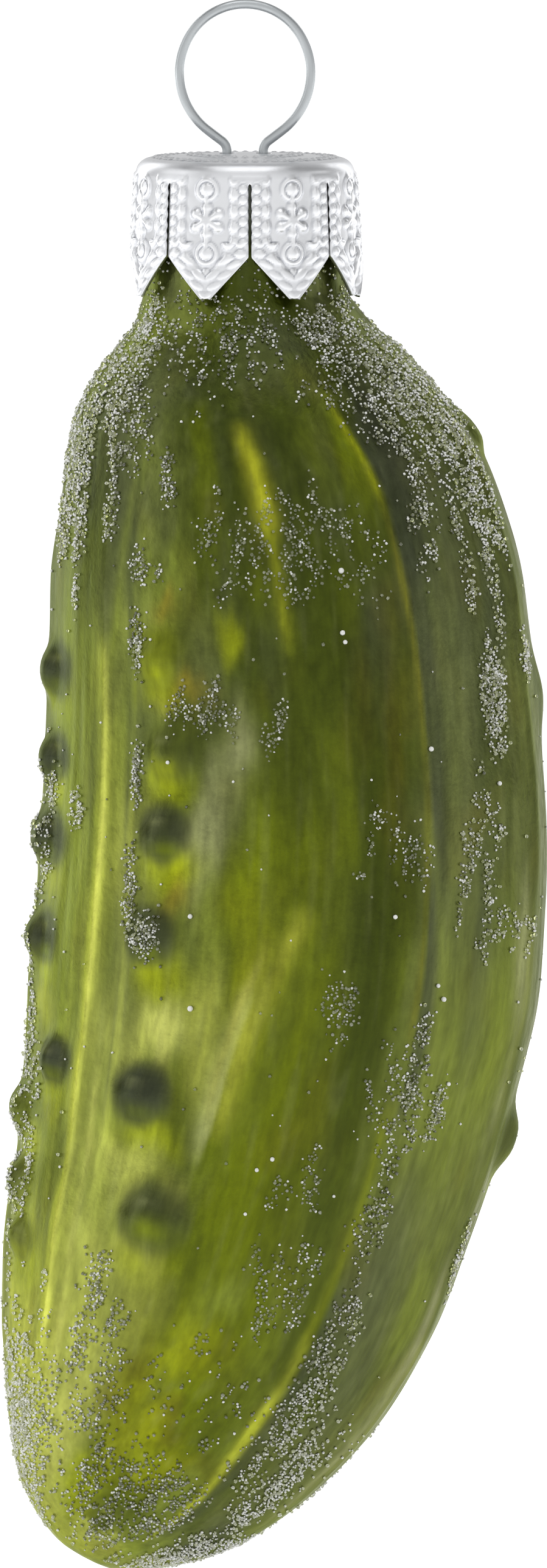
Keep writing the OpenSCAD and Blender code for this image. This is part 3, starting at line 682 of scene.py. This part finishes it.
# Patches of frost: drop in thousandths of the height, angle, reach of each, and the number of grains
FROST = [
    (70, 55, 55, 34, 950), (35, -12, 30, 34, 130), (28, 31, 14, 8, 120), (120, -80, 85, 12, 420),
    (130, -50, 70, 3, 120), (170, -66, 70, 4, 150), (30, -60, 25, 16, 160), (70, -57, 30, 14, 170),
    (105, -42, 30, 4, 60), (140, 40, 65, 4, 120), (170, 50, 70, 2.5, 110), (200, 60, 70, 2.5, 110),
    (140, 64, 60, 10, 250), (187, 1, 40, 25, 190), (185, 37, 28, 5, 30), (310, 55, 42, 5, 280),
    (285, 72, 18, 4, 50), (210, -38, 14, 4, 40), (268, -40, 22, 3, 60), (135, -31, 30, 4, 50),
    (315, -22, 18, 10, 110), (325, -5, 16, 3, 36), (365, -40.3, 28, 1, 60), (455, -40.5, 40, 1.2, 80),
    (440, -84, 100, 7, 80), (400, -62, 20, 3, 34), (430, 47, 70, 8, 130), (480, 60, 20, 9, 40),
    (425, 22, 35, 9, 60), (497, -35, 13, 4, 110), (545, 12, 25, 4, 60), (600, 30, 60, 9, 170),
    (610, 43, 22, 3, 50), (730, 13, 80, 10, 130), (715, 72, 28, 4, 70), (790, -35, 22, 6, 60),
    (850, -27, 50, 13, 130), (810, 34, 75, 7, 270), (885, 50, 45, 8, 190), (635, -80, 35, 8, 55),
    (730, -80, 70, 9, 140), (920, -62, 55, 26, 460), (955, 62, 28, 26, 380), (930, 2, 35, 30, 300),
    (390, -80, 20, 6, 30), (700, 32, 50, 5, 60), (600, -88, 50, 8, 60), (60, 120, 45, 30, 560),
    (50, 175, 35, 26, 320), (80, 225, 55, 28, 620), (90, 262, 50, 12, 260), (160, 150, 35, 16, 160),
    (180, 205, 40, 8, 150), (300, 110, 50, 6, 160), (380, 150, 40, 5, 110), (400, 225, 60, 6, 150),
    (520, 190, 30, 8, 110), (600, 118, 50, 7, 140), (660, 235, 50, 8, 150), (740, 165, 50, 10, 190),
    (840, 200, 45, 16, 240), (900, 120, 45, 26, 380), (930, 180, 35, 34, 360), (900, 245, 45, 24, 330),
]
FROST_MORE = 2.8
STRAY_GRAINS = 450
NECK_GRAINS = 450
# Larger white grains: drop share, angle and radius
WHITE_SHARES = [
    (0.207, 13, 0.19), (0.255, 12, 0.17), (0.262, 12.5, 0.15), (0.345, 32, 0.17), (0.355, -30, 0.13),
    (0.335, -4, 0.12), (0.478, -24, 0.16), (0.53, 37, 0.17), (0.552, -22, 0.19), (0.47, 23, 0.15),
    (0.705, 0, 0.12), (0.59, 44, 0.14), (0.52, 35, 0.14), (0.66, 3, 0.15), (0.67, 0, 0.14),
    (0.375, 54, 0.15),
]
# Dust: the drop shares where it is thickest or ends, its two angles and the number of grains
DUST_SHARES = [
    (0.23, 0.13, -18, 26, 260), (0.80, 0.985, -85, 60, 1200), (0.0, 0.10, -80, 80, 450),
    (0.0, 0.10, 80, 280, 600), (0.82, 0.985, 60, 275, 1000),
]
GRAIN_R = 0.115
GRAIN_SUNK_SHARE = 0.3
GRAIN_GAP_SHARE = 0.62
GRAIN_CELL = 0.3
NECK_TOP_SHARE = -0.034
FROST_END_SHARE = 0.985


def ball(levels):
    """Points and triangles of a ball of radius 1: 20 faces, or 80 with one level more."""
    g = (1 + 5 ** 0.5) / 2
    pairs = [(-1, g), (1, g), (-1, -g), (1, -g)]
    verts = [(a, b, 0) for a, b in pairs] + [(0, a, b) for a, b in pairs] + [(b, 0, a) for a, b in pairs]
    faces = [(0, 11, 5), (0, 5, 1), (0, 1, 7), (0, 7, 10), (0, 10, 11), (1, 5, 9), (5, 11, 4), (11, 10, 2),
             (10, 7, 6), (7, 1, 8), (3, 9, 4), (3, 4, 2), (3, 2, 6), (3, 6, 8), (3, 8, 9), (4, 9, 5),
             (2, 4, 11), (6, 2, 10), (8, 6, 7), (9, 8, 1)]
    for _ in range(levels):
        middles = {}
        split = []

        def middle(a, b):
            key = (min(a, b), max(a, b))
            if key not in middles:
                verts.append(tuple((verts[a][i] + verts[b][i]) / 2 for i in range(3)))
                middles[key] = len(verts) - 1
            return middles[key]

        for a, b, c in faces:
            ab, bc, ca = middle(a, b), middle(b, c), middle(c, a)
            split += [(a, ab, ca), (b, bc, ab), (c, ca, bc), (ab, bc, ca)]
        faces = split
    verts = np.array(verts, dtype=float)
    return verts / np.linalg.norm(verts, axis=1)[:, None], np.array(faces)


def grain_places():
    """Drop shares, angles and radii (0 where a radius is drawn later) of the frost, in clusters."""
    rng = random.Random(8)
    places = []
    for s0, a0, reach, turn, count in FROST:
        done = 0
        while done < count * FROST_MORE:
            away = rng.random() ** 0.6
            round_by = rng.uniform(0, 2 * math.pi)
            s = s0 / 1000 + reach / 1000 * away * math.cos(round_by)
            q = a0 + turn * away * math.sin(round_by)
            radius = max(2.0, float(smooth(2, station_of(max(0.0, s) * BODY_L))))
            length = rng.uniform(0.3, 1.5)
            for _ in range(rng.randint(3, 16)):
                down = rng.gauss(0, 0.5) * length
                places.append((s + down / BODY_L, q + math.degrees(rng.gauss(0, 0.2) / radius), 0))
                done += 1
    for _ in range(NECK_GRAINS):
        places.append((rng.uniform(NECK_TOP_SHARE, 0.012), rng.uniform(-180, 180), 0))
    for top, low, a0, a1, count in DUST_SHARES:
        done = 0
        while done < count:
            share = rng.random() ** 0.7
            s = top + (low - top) * (share if top > 0.5 else 1 - share)
            q = rng.uniform(a0, a1)
            for _ in range(rng.randint(1, 7)):
                places.append((s + rng.gauss(0, 0.3) / BODY_L, q + rng.gauss(0, 1.0), 0))
                done += 1
    for _ in range(STRAY_GRAINS):
        places.append((rng.uniform(0.01, 0.97), rng.uniform(-180, 180), 0))
    return sorted(places, key=lambda p: p[0])


def place_grains(name, places, shape, seed, squash):
    """One mesh of grains, part sunk in the skin."""
    rng = np.random.default_rng(seed)
    verts, faces = shape
    s, q, own = np.array([p for p in places if NECK_TOP_SHARE < p[0] < FROST_END_SHARE], dtype=float).T
    u = station_of(s * BODY_L)
    # small bright grains, white as painted glints, among larger clear ones, which are most of those on the
    # front
    front = bell(angle_gap(q, 0) / 38) * ramp(s, -0.05, 0.2)
    bright = rng.random(len(s)) < 0.6 - 0.38 * front
    spread = rng.random(len(s))
    drawn = np.where(bright, 0.46 + 0.45 * spread, 0.70 + 0.6 * spread ** 1.3)
    radius = np.where(own > 0, own, GRAIN_R * drawn)
    clear = 0.35 * rng.random(len(s)) ** 2 + 0.3 * ramp(s, 0.76, 0.06) * (1 - front)
    light = np.where(bright, 0.7 + 0.3 * spread, clear)
    out = radius * (1 - GRAIN_SUNK_SHARE)
    middles = skin(u, q) + outward(u, q) * (out - 0.01)[:, None]
    neck_r = NECK_R + out + NECK_FLARE * clamp(1 + s * BODY_L) ** 2
    middles = np.where((s < 0.002)[:, None], ring(neck_r, q, body_z - s * BODY_L), middles)
    # a grain that would sink into another is left out
    cells = {}
    kept = []
    for i, p in enumerate(middles):
        cx, cy, cz = np.floor(p / GRAIN_CELL).astype(int)
        near = [j for x in (cx - 1, cx, cx + 1) for y in (cy - 1, cy, cy + 1) for z in (cz - 1, cz, cz + 1)
                for j in cells.get((x, y, z), ())]
        if all(np.linalg.norm(middles[j] - p) > GRAIN_GAP_SHARE * (radius[i] + radius[j]) for j in near):
            cells.setdefault((cx, cy, cz), []).append(i)
            kept.append(i)
    count = len(kept)
    turns = rng.normal(size=(count, 4))
    turns /= np.linalg.norm(turns, axis=1)[:, None]
    w, x, y, z = turns.T
    spin = np.stack([
        1 - 2 * (y * y + z * z), 2 * (x * y - z * w), 2 * (x * z + y * w),
        2 * (x * y + z * w), 1 - 2 * (x * x + z * z), 2 * (y * z - x * w),
        2 * (x * z - y * w), 2 * (y * z + x * w), 1 - 2 * (x * x + y * y),
    ], axis=1).reshape(count, 3, 3)
    uneven = 1 + rng.uniform(-squash, squash, (count, len(verts), 1))
    local = np.einsum("nij,vj->nvi", spin, verts) * uneven * radius[kept][:, None, None]
    points = (local + middles[kept][:, None, :]).reshape(-1, 3)
    every = (faces[None] + (np.arange(count) * len(verts))[:, None, None]).reshape(-1, 3)
    obj = new_object(name, points, every.tolist())
    set_colours(obj.data, "grain", np.repeat(light[kept], len(verts))[:, None])
    return obj


# Stamped pattern of a tab, in millimetres from the middle of the tab and down from the slits' top
BEAD_TOP = 0.39
STAR_Y = 2.34
STAR_R = 0.92
BEAD_LOW = 4.42
TAB_COLS = 52
SKIRT_ROWS = 78
SHOULDER_ROWS = 9
# Bosses at the upper corners of a tab: distance from the corner, place, radius and height
CORNERS = [(0.62, -0.85, 0.42, 0.17), (0.95, -0.25, 0.26, 0.12), (0.35, -0.20, 0.24, 0.11)]
# Borders of beads: offset and pitch along the edge, half length, distance from the edge, half width, height
BORDERS = [(0.0, 0.68, 0.42, 0.42, 0.27, 0.12), (0.2, 1.02, 0.36, 0.98, 0.30, 0.11)]
# Rings of beads on the roof: radius, number of beads, their radius and height
ROOF_BEADS = [(5.72, 58, 0.20, 0.11), (5.10, 50, 0.19, 0.10), (3.55, 34, 0.18, 0.09), (2.95, 28, 0.16, 0.08)]
ROOF_GRID = 0.115
HOLE_SIDES = 28
HOLE_R = WIRE_R + HOLE_PLAY
HALF_TURN = 180.0 / TAB_COUNT
TAB_HALF = SKIRT_R * math.radians(HALF_TURN)
TAB_PLAIN = TAB_HALF - SLIT_W / 2
POINT_SLOPE = (TAB_PLAIN - TIP_W / 2) / POINT_H


def step(v, width):
    """A soft step from 1 inside to 0 outside, around v = 0."""
    return clamp(0.5 - v / width)


def dome(gap, r, h):
    return h * np.sqrt(np.maximum(0.0, 1 - (gap / r) ** 2))


def bar(x, y, x0, y0, x1, y1, r):
    """Distance outside a bar with round ends."""
    dx, dy = x1 - x0, y1 - y0
    t = clamp(((x - x0) * dx + (y - y0) * dy) / (dx * dx + dy * dy))
    return np.hypot(x - x0 - t * dx, y - y0 - t * dy) - r


def half_width(z):
    return np.where(z > point_z, TAB_PLAIN, TAB_PLAIN - POINT_SLOPE * (point_z - z))


def stamped(x, z):
    """Relief of the sheet on a tab, from its middle line and its height."""
    y = slit_z - z
    side = TAB_HALF - np.abs(x)
    slanted = (half_width(z) - np.abs(x)) / math.hypot(1, POINT_SLOPE)
    edge = np.where(z < point_z + 0.9, np.minimum(side, np.maximum(slanted, 0) + 0.05), side)
    # the border stands a little proud, with a scalloped inner edge and two rows of beads
    scallop = 0.12 * np.abs(np.sin(math.pi * (y - 0.2) / 1.02))
    out = 0.13 * (step(edge - 1.12 - scallop, 0.22) * clamp((y + 1.3) / 0.3))
    upper_part = 0.45 + 0.55 * clamp((5.3 - y) / 0.6)
    for offset, pitch, long, away, wide, h in BORDERS:
        phase = ((y - offset) / pitch) % 1.0 - 0.5
        bump = np.sqrt(np.maximum(0.0, 1 - (phase / long) ** 2 - ((edge - away) / wide) ** 2))
        out = out + h * bump * clamp((y + 0.2) / 0.2) * upper_part
    # bosses at the two upper corners
    for k in (-1, 1):
        for inset, y0, r, h in CORNERS:
            out = np.maximum(out, dome(np.hypot(x - k * (TAB_HALF - inset), y - y0), r, h))
    # stem, star and the two round bosses with a ring each
    shape = np.minimum(bar(x, y, 0, BEAD_TOP + 0.3, 0, BEAD_LOW - 0.3, 0.15), np.hypot(x, y - STAR_Y) - 0.42)
    for k in range(6):
        a = math.radians(60 * k)
        tip_x, tip_y = STAR_R * math.sin(a), STAR_Y - STAR_R * math.cos(a)
        shape = np.minimum(shape, bar(x, y, 0, STAR_Y, tip_x, tip_y, 0.2))
        shape = np.minimum(shape, np.hypot(x - 0.9 * tip_x, y - STAR_Y - 0.9 * (tip_y - STAR_Y)) - 0.27)
    out = np.maximum(out, 0.21 * step(shape, 0.24))
    for y0 in (BEAD_TOP, BEAD_LOW):
        gap = np.hypot(x, y - y0)
        out = np.maximum(out, 0.15 * step(np.abs(gap - 0.62) - 0.10, 0.18))
        out = np.maximum(out, dome(gap, 0.46, 0.25))
    # two small beads in the point
    out = np.maximum(out, dome(np.hypot(x, y - 5.65), 0.28, 0.12))
    return np.maximum(out, dome(np.hypot(x, y - 6.30), 0.22, 0.10))


def roof_height(x, y):
    r = np.hypot(x, y)
    half_r = ROOF_R * 0.5
    z = np.where(r < half_r, roof_z - DOME_H * 0.3 * r / half_r,
                 roof_z - DOME_H * (0.3 + 0.7 * (r - half_r) / half_r))
    turn = np.degrees(np.arctan2(x, -y))
    for ring_r, count, bead_r, h in ROOF_BEADS:
        near = turn / (360 / count) - np.round(turn / (360 / count))
        z = z + dome(np.hypot(r - ring_r, near * 2 * math.pi * ring_r / count), bead_r, h)
    return z


def hollows(height, x, y, reach):
    """0 in the hollows of a relief and 1 on its heights."""
    mean = sum(height(x + dx, y + dy) for dx, dy in ((reach, 0), (-reach, 0), (0, reach), (0, -reach))) / 4
    return clamp(0.5 + 9.0 * (height(x, y) - mean))


def tab_row(k, z):
    """Points of one row of a tab over its width, and how high each stands in the relief."""
    shares = np.linspace(-1, 1, TAB_COLS + 1)
    x = shares * (TAB_HALF if z >= slit_z - 1e-9 else half_width(z))
    zs = np.full_like(x, z)
    droop = clamp((slit_z - z) / (slit_z - tip_z))
    rng = random.Random(40 + k)
    lean = rng.uniform(-0.04, 0.10) * droop + rng.uniform(-0.05, 0.05) * droop * shares
    # the two tabs at the right stand off the neck by their own amounts
    if k == 1:
        lean = lean + 0.30 * droop * clamp(shares) ** 2
    if k == 2:
        lean = lean - 0.10 * droop * clamp(-shares) ** 2
    skirt = SKIRT_R + SKIRT_FLARE * (top_z - z) / (top_z - tip_z)
    angle = SLIT_TURN + 2 * HALF_TURN * (k + 0.5) + np.degrees(x / SKIRT_R)
    return ring(skirt + stamped(x, zs) + lean, angle, zs), hollows(stamped, x, zs, 0.12)


def hole_gap(x, y):
    return min(math.hypot(x - HOLE_X, y), math.hypot(x + HOLE_X, y))


def build_cap():
    # the roof: its edge, the two holes and rings of points between them
    cols = TAB_COUNT * TAB_COLS
    edge_turns = SLIT_TURN + 360.0 * np.arange(cols) / cols
    flat = [(ROOF_R * deg_sin(t), -ROOF_R * deg_cos(t)) for t in edge_turns]
    edges = [(k, (k + 1) % cols) for k in range(cols)]
    for side in (-1, 1):
        first = len(flat)
        for k in range(HOLE_SIDES):
            t = 360.0 * k / HOLE_SIDES
            flat.append((side * HOLE_X + HOLE_R * deg_sin(t), -HOLE_R * deg_cos(t)))
            edges.append((first + k, first + (k + 1) % HOLE_SIDES))
    for r in np.arange(ROOF_R - 0.11, 0.1, -ROOF_GRID):
        count = max(8, int(2 * math.pi * r / ROOF_GRID))
        for k in range(count):
            t = 360.0 * (k + 0.5 * (int(r / ROOF_GRID) % 2)) / count
            x, y = r * deg_sin(t), -r * deg_cos(t)
            if hole_gap(x, y) > HOLE_R + 0.06:
                flat.append((x, y))
    points, _, triangles, orig, _, _ = delaunay_2d_cdt([Vector(p) for p in flat], edges, [], 0, 1e-6)
    lookup = {old: new for new, olds in enumerate(orig) for old in olds}
    px = np.array([p[0] for p in points])
    py = np.array([p[1] for p in points])
    verts = list(zip(px, py, roof_height(px, py)))
    faces = [tuple(t) for t in triangles
             if hole_gap(sum(px[i] for i in t) / 3, sum(py[i] for i in t) / 3) > HOLE_R]
    shades = [hollows(roof_height, px, py, 0.1)]
    above = [lookup[k] for k in range(cols)]

    def add_ring(points):
        first = len(verts)
        verts.extend(map(tuple, points))
        for k in range(cols):
            m = (k + 1) % cols
            faces.append((above[m], above[k], first + k, first + m))
        return list(range(first, first + cols))

    for a in np.linspace(90, 0, SHOULDER_ROWS + 1)[1:-1]:
        z = top_z + SHOULDER_R * deg_sin(a)
        above = add_ring(ring(ROOF_R + SHOULDER_R * deg_cos(a), edge_turns, z))
        shades.append(np.full(cols, 0.5))
    # the skirt, closed round down to the slits and then tab by tab
    upper = int(round(SKIRT_ROWS * (top_z - slit_z) / (top_z - tip_z)))
    for z in np.linspace(top_z, slit_z, upper + 1):
        tabs = [tab_row(k, z) for k in range(TAB_COUNT)]
        above = add_ring(np.concatenate([row[:-1] for row, _ in tabs]))
        shades += [shade[:-1] for _, shade in tabs]
    for k in range(TAB_COUNT):
        over = [above[(k * TAB_COLS + i) % cols] for i in range(TAB_COLS + 1)]
        for z in np.linspace(slit_z, tip_z, SKIRT_ROWS - upper + 1)[1:]:
            first = len(verts)
            row, shade = tab_row(k, z)
            verts.extend(map(tuple, row))
            shades.append(shade)
            faces += [(over[i + 1], over[i], first + i, first + i + 1) for i in range(TAB_COLS)]
            over = list(range(first, first + TAB_COLS + 1))
    obj = new_object("crown_cap", verts, faces)
    # how high each point stands in its relief, which the material turns into painted shade in the hollows
    set_colours(obj.data, "hollows", np.concatenate(shades)[:, None])
    bpy.context.view_layer.objects.active = obj
    thick = obj.modifiers.new("sheet", "SOLIDIFY")
    thick.thickness = SHEET_T * MM
    thick.offset = -1
    shell = obj.evaluated_get(bpy.context.evaluated_depsgraph_get())
    mesh = bpy.data.meshes.new_from_object(shell)
    obj.modifiers.clear()
    obj.data = mesh
    return obj


def arc(cx, cz, r, start, end, count):
    """Points of an arc in the XZ plane, its angles taken from +X upwards."""
    return [(cx + r * deg_cos(a), cz + r * deg_sin(a)) for a in np.linspace(start, end, count)]


def wire_path():
    """The wire's centreline from the middle of its top to the end of the right leg."""
    leg_z = roof_z - DOME_H - SHEET_T - LEG_STEM
    leg_side = LEG_R * (1 - deg_sin(LEG_TURN))
    leg_drop = LEG_R * deg_cos(LEG_TURN)
    spread_l = (leg_x - HOLE_X - 2 * leg_side) / deg_cos(LEG_TURN)
    end_z = leg_z - leg_drop - spread_l * deg_sin(LEG_TURN) - leg_drop
    path = arc(0, WIRE_R - LOOP_TOP_R, LOOP_TOP_R, 90, 90 - SIDE_TURN, 18)
    side_cx = side_x - LOOP_SIDE_R * deg_sin(SIDE_TURN)
    side_cz = side_z - LOOP_SIDE_R * deg_cos(SIDE_TURN)
    path += arc(side_cx, side_cz, LOOP_SIDE_R, 90 - SIDE_TURN, 90 - FOOT_TURN, 26)[1:]
    path += arc(HOLE_X + LOOP_FOOT_R, stem_z, LOOP_FOOT_R, 270 - FOOT_TURN, 180, 10)
    path += arc(HOLE_X + LEG_R, leg_z, LEG_R, 180, 270 - LEG_TURN, 8)
    path += arc(leg_x - LEG_R, end_z, LEG_R, 90 - LEG_TURN, 0, 8)
    return path + [(leg_x, end_z - down) for down in (LEG_END * 0.5, LEG_END - 0.12, LEG_END)]


def build_wire():
    right = wire_path()
    path = [(-x, z) for x, z in right[:0:-1]] + right
    sides = 20
    verts = []
    count = len(path)
    for i, (x, z) in enumerate(path):
        x0, z0 = path[max(0, i - 1)]
        x1, z1 = path[min(count - 1, i + 1)]
        length = math.hypot(x1 - x0, z1 - z0)
        dx, dz = (x1 - x0) / length, (z1 - z0) / length
        # the two ends are a little narrower, as the cutter leaves them
        r = WIRE_R * (0.7 if i in (0, count - 1) else 1.0)
        for t in 2 * math.pi * np.arange(sides) / sides:
            verts.append((x + r * math.cos(t) * dz, -r * math.sin(t), z - r * math.cos(t) * dx))
    faces = [f[::-1] for f in ring_faces(count, sides)]
    faces.append(tuple(range(sides)))
    faces.append(tuple(reversed(range((count - 1) * sides, count * sides))))
    return new_object("wire_loop", verts, faces)


def paint(rgb):
    return (*linear(rgb), 1.0)


def feed(tree, target, values):
    """Sets inputs of a node, each to a constant or to the output of another node."""
    for key, value in values.items():
        if isinstance(value, bpy.types.NodeSocket):
            tree.links.new(value, target.inputs[key])
        else:
            target.inputs[key].default_value = value


def node_material(name):
    mat = bpy.data.materials.new(name)
    mat.use_nodes = True
    return mat, mat.node_tree, mat.node_tree.nodes["Principled BSDF"]


def math_node(tree, operation, *values):
    node = tree.nodes.new("ShaderNodeMath")
    node.operation = operation
    feed(tree, node, dict(enumerate(values)))
    return node.outputs["Value"]


def mix_node(tree, kind, factor, a, b):
    node = tree.nodes.new("ShaderNodeMix")
    node.data_type = kind
    feed(tree, node, {"Factor": factor, "A": a, "B": b})
    return node.outputs["Result"]


def range_node(tree, value, low, high, out_low, out_high):
    node = tree.nodes.new("ShaderNodeMapRange")
    feed(tree, node, {"Value": value, "From Min": low, "From Max": high,
                      "To Min": out_low, "To Max": out_high})
    return node.outputs["Result"]


def bump_node(tree, height, distance, strength, before=None):
    node = tree.nodes.new("ShaderNodeBump")
    feed(tree, node, {"Height": height, "Distance": distance, "Strength": strength})
    if before is not None:
        feed(tree, node, {"Normal": before})
    return node.outputs["Normal"]


def layer_node(tree, name):
    node = tree.nodes.new("ShaderNodeVertexColor")
    node.layer_name = name
    return node.outputs["Color"]


def noise_node(tree, scale, stretch, detail=3.0, flow=False):
    """Noise over the object's own coordinates, or along the pickle, stretched."""
    if flow:
        place = tree.nodes.new("ShaderNodeAttribute")
        place.attribute_name = "flow"
        source = place.outputs["Vector"]
    else:
        source = tree.nodes.new("ShaderNodeTexCoord").outputs["Object"]
    mapping = tree.nodes.new("ShaderNodeMapping")
    feed(tree, mapping, {"Vector": source, "Scale": stretch})
    node = tree.nodes.new("ShaderNodeTexNoise")
    feed(tree, node, {"Vector": mapping.outputs["Vector"], "Scale": scale, "Detail": detail})
    return node.outputs["Fac"]


def lacquer_material():
    mat, tree, bsdf = node_material("lacquered_glass")
    marks = noise_node(tree, 2600.0, (1.0, 1.0, 0.22), flow=True)
    mottle = noise_node(tree, 1300.0, (1.0, 1.0, 0.7), 4.0, flow=True)
    crinkle = noise_node(tree, 3600.0, (1.0, 1.0, 0.8), flow=True)
    shade = math_node(tree, "MULTIPLY", range_node(tree, marks, 0.3, 0.7, 0.88, 1.12),
                      range_node(tree, mottle, 0.3, 0.7, 0.86, 1.14))
    tint = tree.nodes.new("ShaderNodeVectorMath")
    tint.operation = "SCALE"
    feed(tree, tint, {0: layer_node(tree, "lacquer"), "Scale": shade})
    feed(tree, bsdf, {
        "Base Color": tint.outputs["Vector"],
        "Roughness": range_node(tree, mottle, 0.3, 0.7, 0.28, 0.44),
        "Metallic": 0.82,
        "IOR": 1.45,
        "Specular Tint": paint((186, 194, 130)),
        "Coat Weight": 0.1,
        "Coat Roughness": 0.18,
        "Normal": bump_node(tree, crinkle, 0.00006, 0.5, bump_node(tree, mottle, 0.00012, 0.4)),
    })
    return mat


def frost_material(name, rgb, clear_rgb, clear):
    """Grains from clear glass of one colour to bright glass of another, the bright ones standing in as
    painted glints.
    """
    mat, tree, bsdf = node_material(name)
    light = layer_node(tree, "grain")
    share = range_node(tree, light, 0.0, 0.7, 0.0, 1.0)
    feed(tree, bsdf, {
        "Base Color": mix_node(tree, "RGBA", share, paint(clear_rgb), paint(rgb)),
        "Roughness": 0.05,
        "IOR": 1.7,
        "Specular IOR Level": 0.8,
        "Transmission Weight": range_node(tree, light, 0.0, 1.0, clear, clear * 0.1),
    })
    return mat


def metal_material(name, colour, rough_low, rough_high, scale, stretch, bump, dull=None):
    """Metal with a grain; where a shade colour is given, the hollows of the stamping get it as painted
    shade.
    """
    mat, tree, bsdf = node_material(name)
    base = paint(colour)
    if dull is not None:
        # the hollows of the stamping are painted darker, as painted shade
        share = range_node(tree, layer_node(tree, "hollows"), 0.0, 0.6, 0.0, 1.0)
        base = mix_node(tree, "RGBA", share, paint(dull), base)
    grain = noise_node(tree, scale, stretch)
    feed(tree, bsdf, {
        "Base Color": base,
        "Metallic": 1.0,
        "Roughness": range_node(tree, grain, 0.3, 0.7, rough_low, rough_high),
        "Normal": bump_node(tree, grain, bump, 0.4),
    })
    return mat


glass = build_glass()
glass.data.materials.append(lacquer_material())
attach(glass, "glass")
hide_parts("glass_body")

clear_frost = frost_material("frost", (252, 253, 248), (228, 233, 176), 0.95)
places = grain_places()
FROST_PIECES = ["frost_top", "frost_shoulder", "frost_middle", "frost_low", "frost_end"]
for index, name in enumerate(FROST_PIECES):
    first = index * len(places) // len(FROST_PIECES)
    last = (index + 1) * len(places) // len(FROST_PIECES)
    grains = place_grains(name, places[first:last], ball(0), 50 + index, 0.18)
    grains.data.materials.append(clear_frost)
    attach(grains, "glass")
    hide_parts("frost_grains")
white = place_grains("frost_white", WHITE_SHARES, ball(1), 60, 0.03)
white.data.materials.append(frost_material("white_grain", (250, 250, 246), (250, 250, 246), 0.1))
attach(white, "glass")

cap = build_cap()
# the hollows of the cap's stamping get a darker colour, a painted shade
cap.data.materials.append(metal_material("cap_metal", (226, 227, 229), 0.28, 0.40, 700.0, (1, 1, 1), 0.00004,
                                        dull=(160, 163, 170)))
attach(cap, "cap")
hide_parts("cap")

wire = build_wire()
wire.data.materials.append(metal_material("wire", (176, 180, 182), 0.24, 0.42, 1500.0, (1, 1, 0.4), 0.00003))
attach(wire, "hanger")
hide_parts("hanger")

# A pale floor that reads white where the lamps reach it, and keeps the object's shadow
FLOOR_Z = -128.0
FLOOR_HALF = 4000.0
FLOOR_GLOW = 0.62
corners = [(x * FLOOR_HALF, y * FLOOR_HALF, FLOOR_Z) for x, y in ((-1, -1), (1, -1), (1, 1), (-1, 1))]
floor = new_object("floor", corners, [(0, 1, 2, 3)])
floor_mat, floor_tree, floor_bsdf = node_material("floor")
rays = floor_tree.nodes.new("ShaderNodeLightPath").outputs
seen = math_node(floor_tree, "MAXIMUM", rays["Is Camera Ray"], rays["Is Glossy Ray"])
seen = math_node(floor_tree, "MAXIMUM", seen, rays["Is Transmission Ray"])
feed(floor_tree, floor_bsdf, {
    "Base Color": paint((240, 240, 240)),
    "Roughness": 0.8,
    "Specular IOR Level": 0.0,
    "Emission Color": (1.0, 1.0, 1.0, 1.0),
    "Emission Strength": range_node(floor_tree, seen, 0.0, 1.0, 0.0, FLOOR_GLOW),
})
floor.data.materials.append(floor_mat)

# Soft lamps that face the middle of the object: place, width, height and power
for name, place, width, height, power in (
    ("key_left", (-560, -60, 140), 420, 640, 0.75),
    ("fill_right", (580, -20, 60), 300, 520, 0.32),
    ("back_left", (-330, 380, 120), 240, 480, 0.5),
    ("back_right", (330, 420, 120), 240, 480, 0.4),
    ("top", (0, -120, 520), 420, 420, 0.7),
):
    lamp = bpy.data.lights.new(name, "AREA")
    lamp.shape = "RECTANGLE"
    lamp.size = width * MM
    lamp.size_y = height * MM
    lamp.energy = power
    obj = bpy.data.objects.new(name, lamp)
    obj.location = Vector(place) * MM
    away = (Vector(place) - Vector(LOOK_AT)).normalized()
    obj.rotation_euler = away.to_track_quat("Z", "Y").to_euler()
    bpy.context.scene.collection.objects.link(obj)

# The world is white to the camera and in reflections of the backdrop, greyer to the sides and overhead
SIDE_GLOW = 0.62
world = bpy.data.worlds.new("studio")
bpy.context.scene.world = world
world.use_nodes = True
tree = world.node_tree
rays = tree.nodes.new("ShaderNodeLightPath").outputs
split = tree.nodes.new("ShaderNodeSeparateXYZ")
feed(tree, split, {"Vector": tree.nodes.new("ShaderNodeTexCoord").outputs["Generated"]})
depth = math_node(tree, "ABSOLUTE", split.outputs["Y"])
behind = math_node(tree, "MULTIPLY", range_node(tree, depth, 0.1, 0.8, 0.35, 1.0),
                   range_node(tree, split.outputs["Y"], 0.0, 0.5, 1.0, 0.72))
seen = math_node(tree, "MAXIMUM", rays["Is Glossy Ray"], rays["Is Transmission Ray"])
plain = mix_node(tree, "FLOAT", seen, SIDE_GLOW, behind)
strength = mix_node(tree, "FLOAT", rays["Is Camera Ray"], plain, 1.0)
feed(tree, tree.nodes["Background"], {"Strength": strength, "Color": (1, 1, 1, 1)})

camera_data = bpy.data.cameras.new("camera")
camera_data.type = "PERSP"
camera_data.sensor_fit = "VERTICAL"
camera_data.sensor_height = SENSOR
camera_data.lens = SENSOR * CAMERA_FAR / PICTURE_H
camera_data.clip_end = 20.0
camera = bpy.data.objects.new("camera", camera_data)
offset = Vector((0.0, -deg_cos(CAMERA_UP), deg_sin(CAMERA_UP))) * CAMERA_FAR
camera.location = (Vector(LOOK_AT) + offset) * MM
camera.rotation_euler = offset.to_track_quat("Z", "Y").to_euler()
bpy.context.scene.collection.objects.link(camera)
bpy.context.scene.camera = camera
bpy.context.scene.view_settings.view_transform = "Standard"
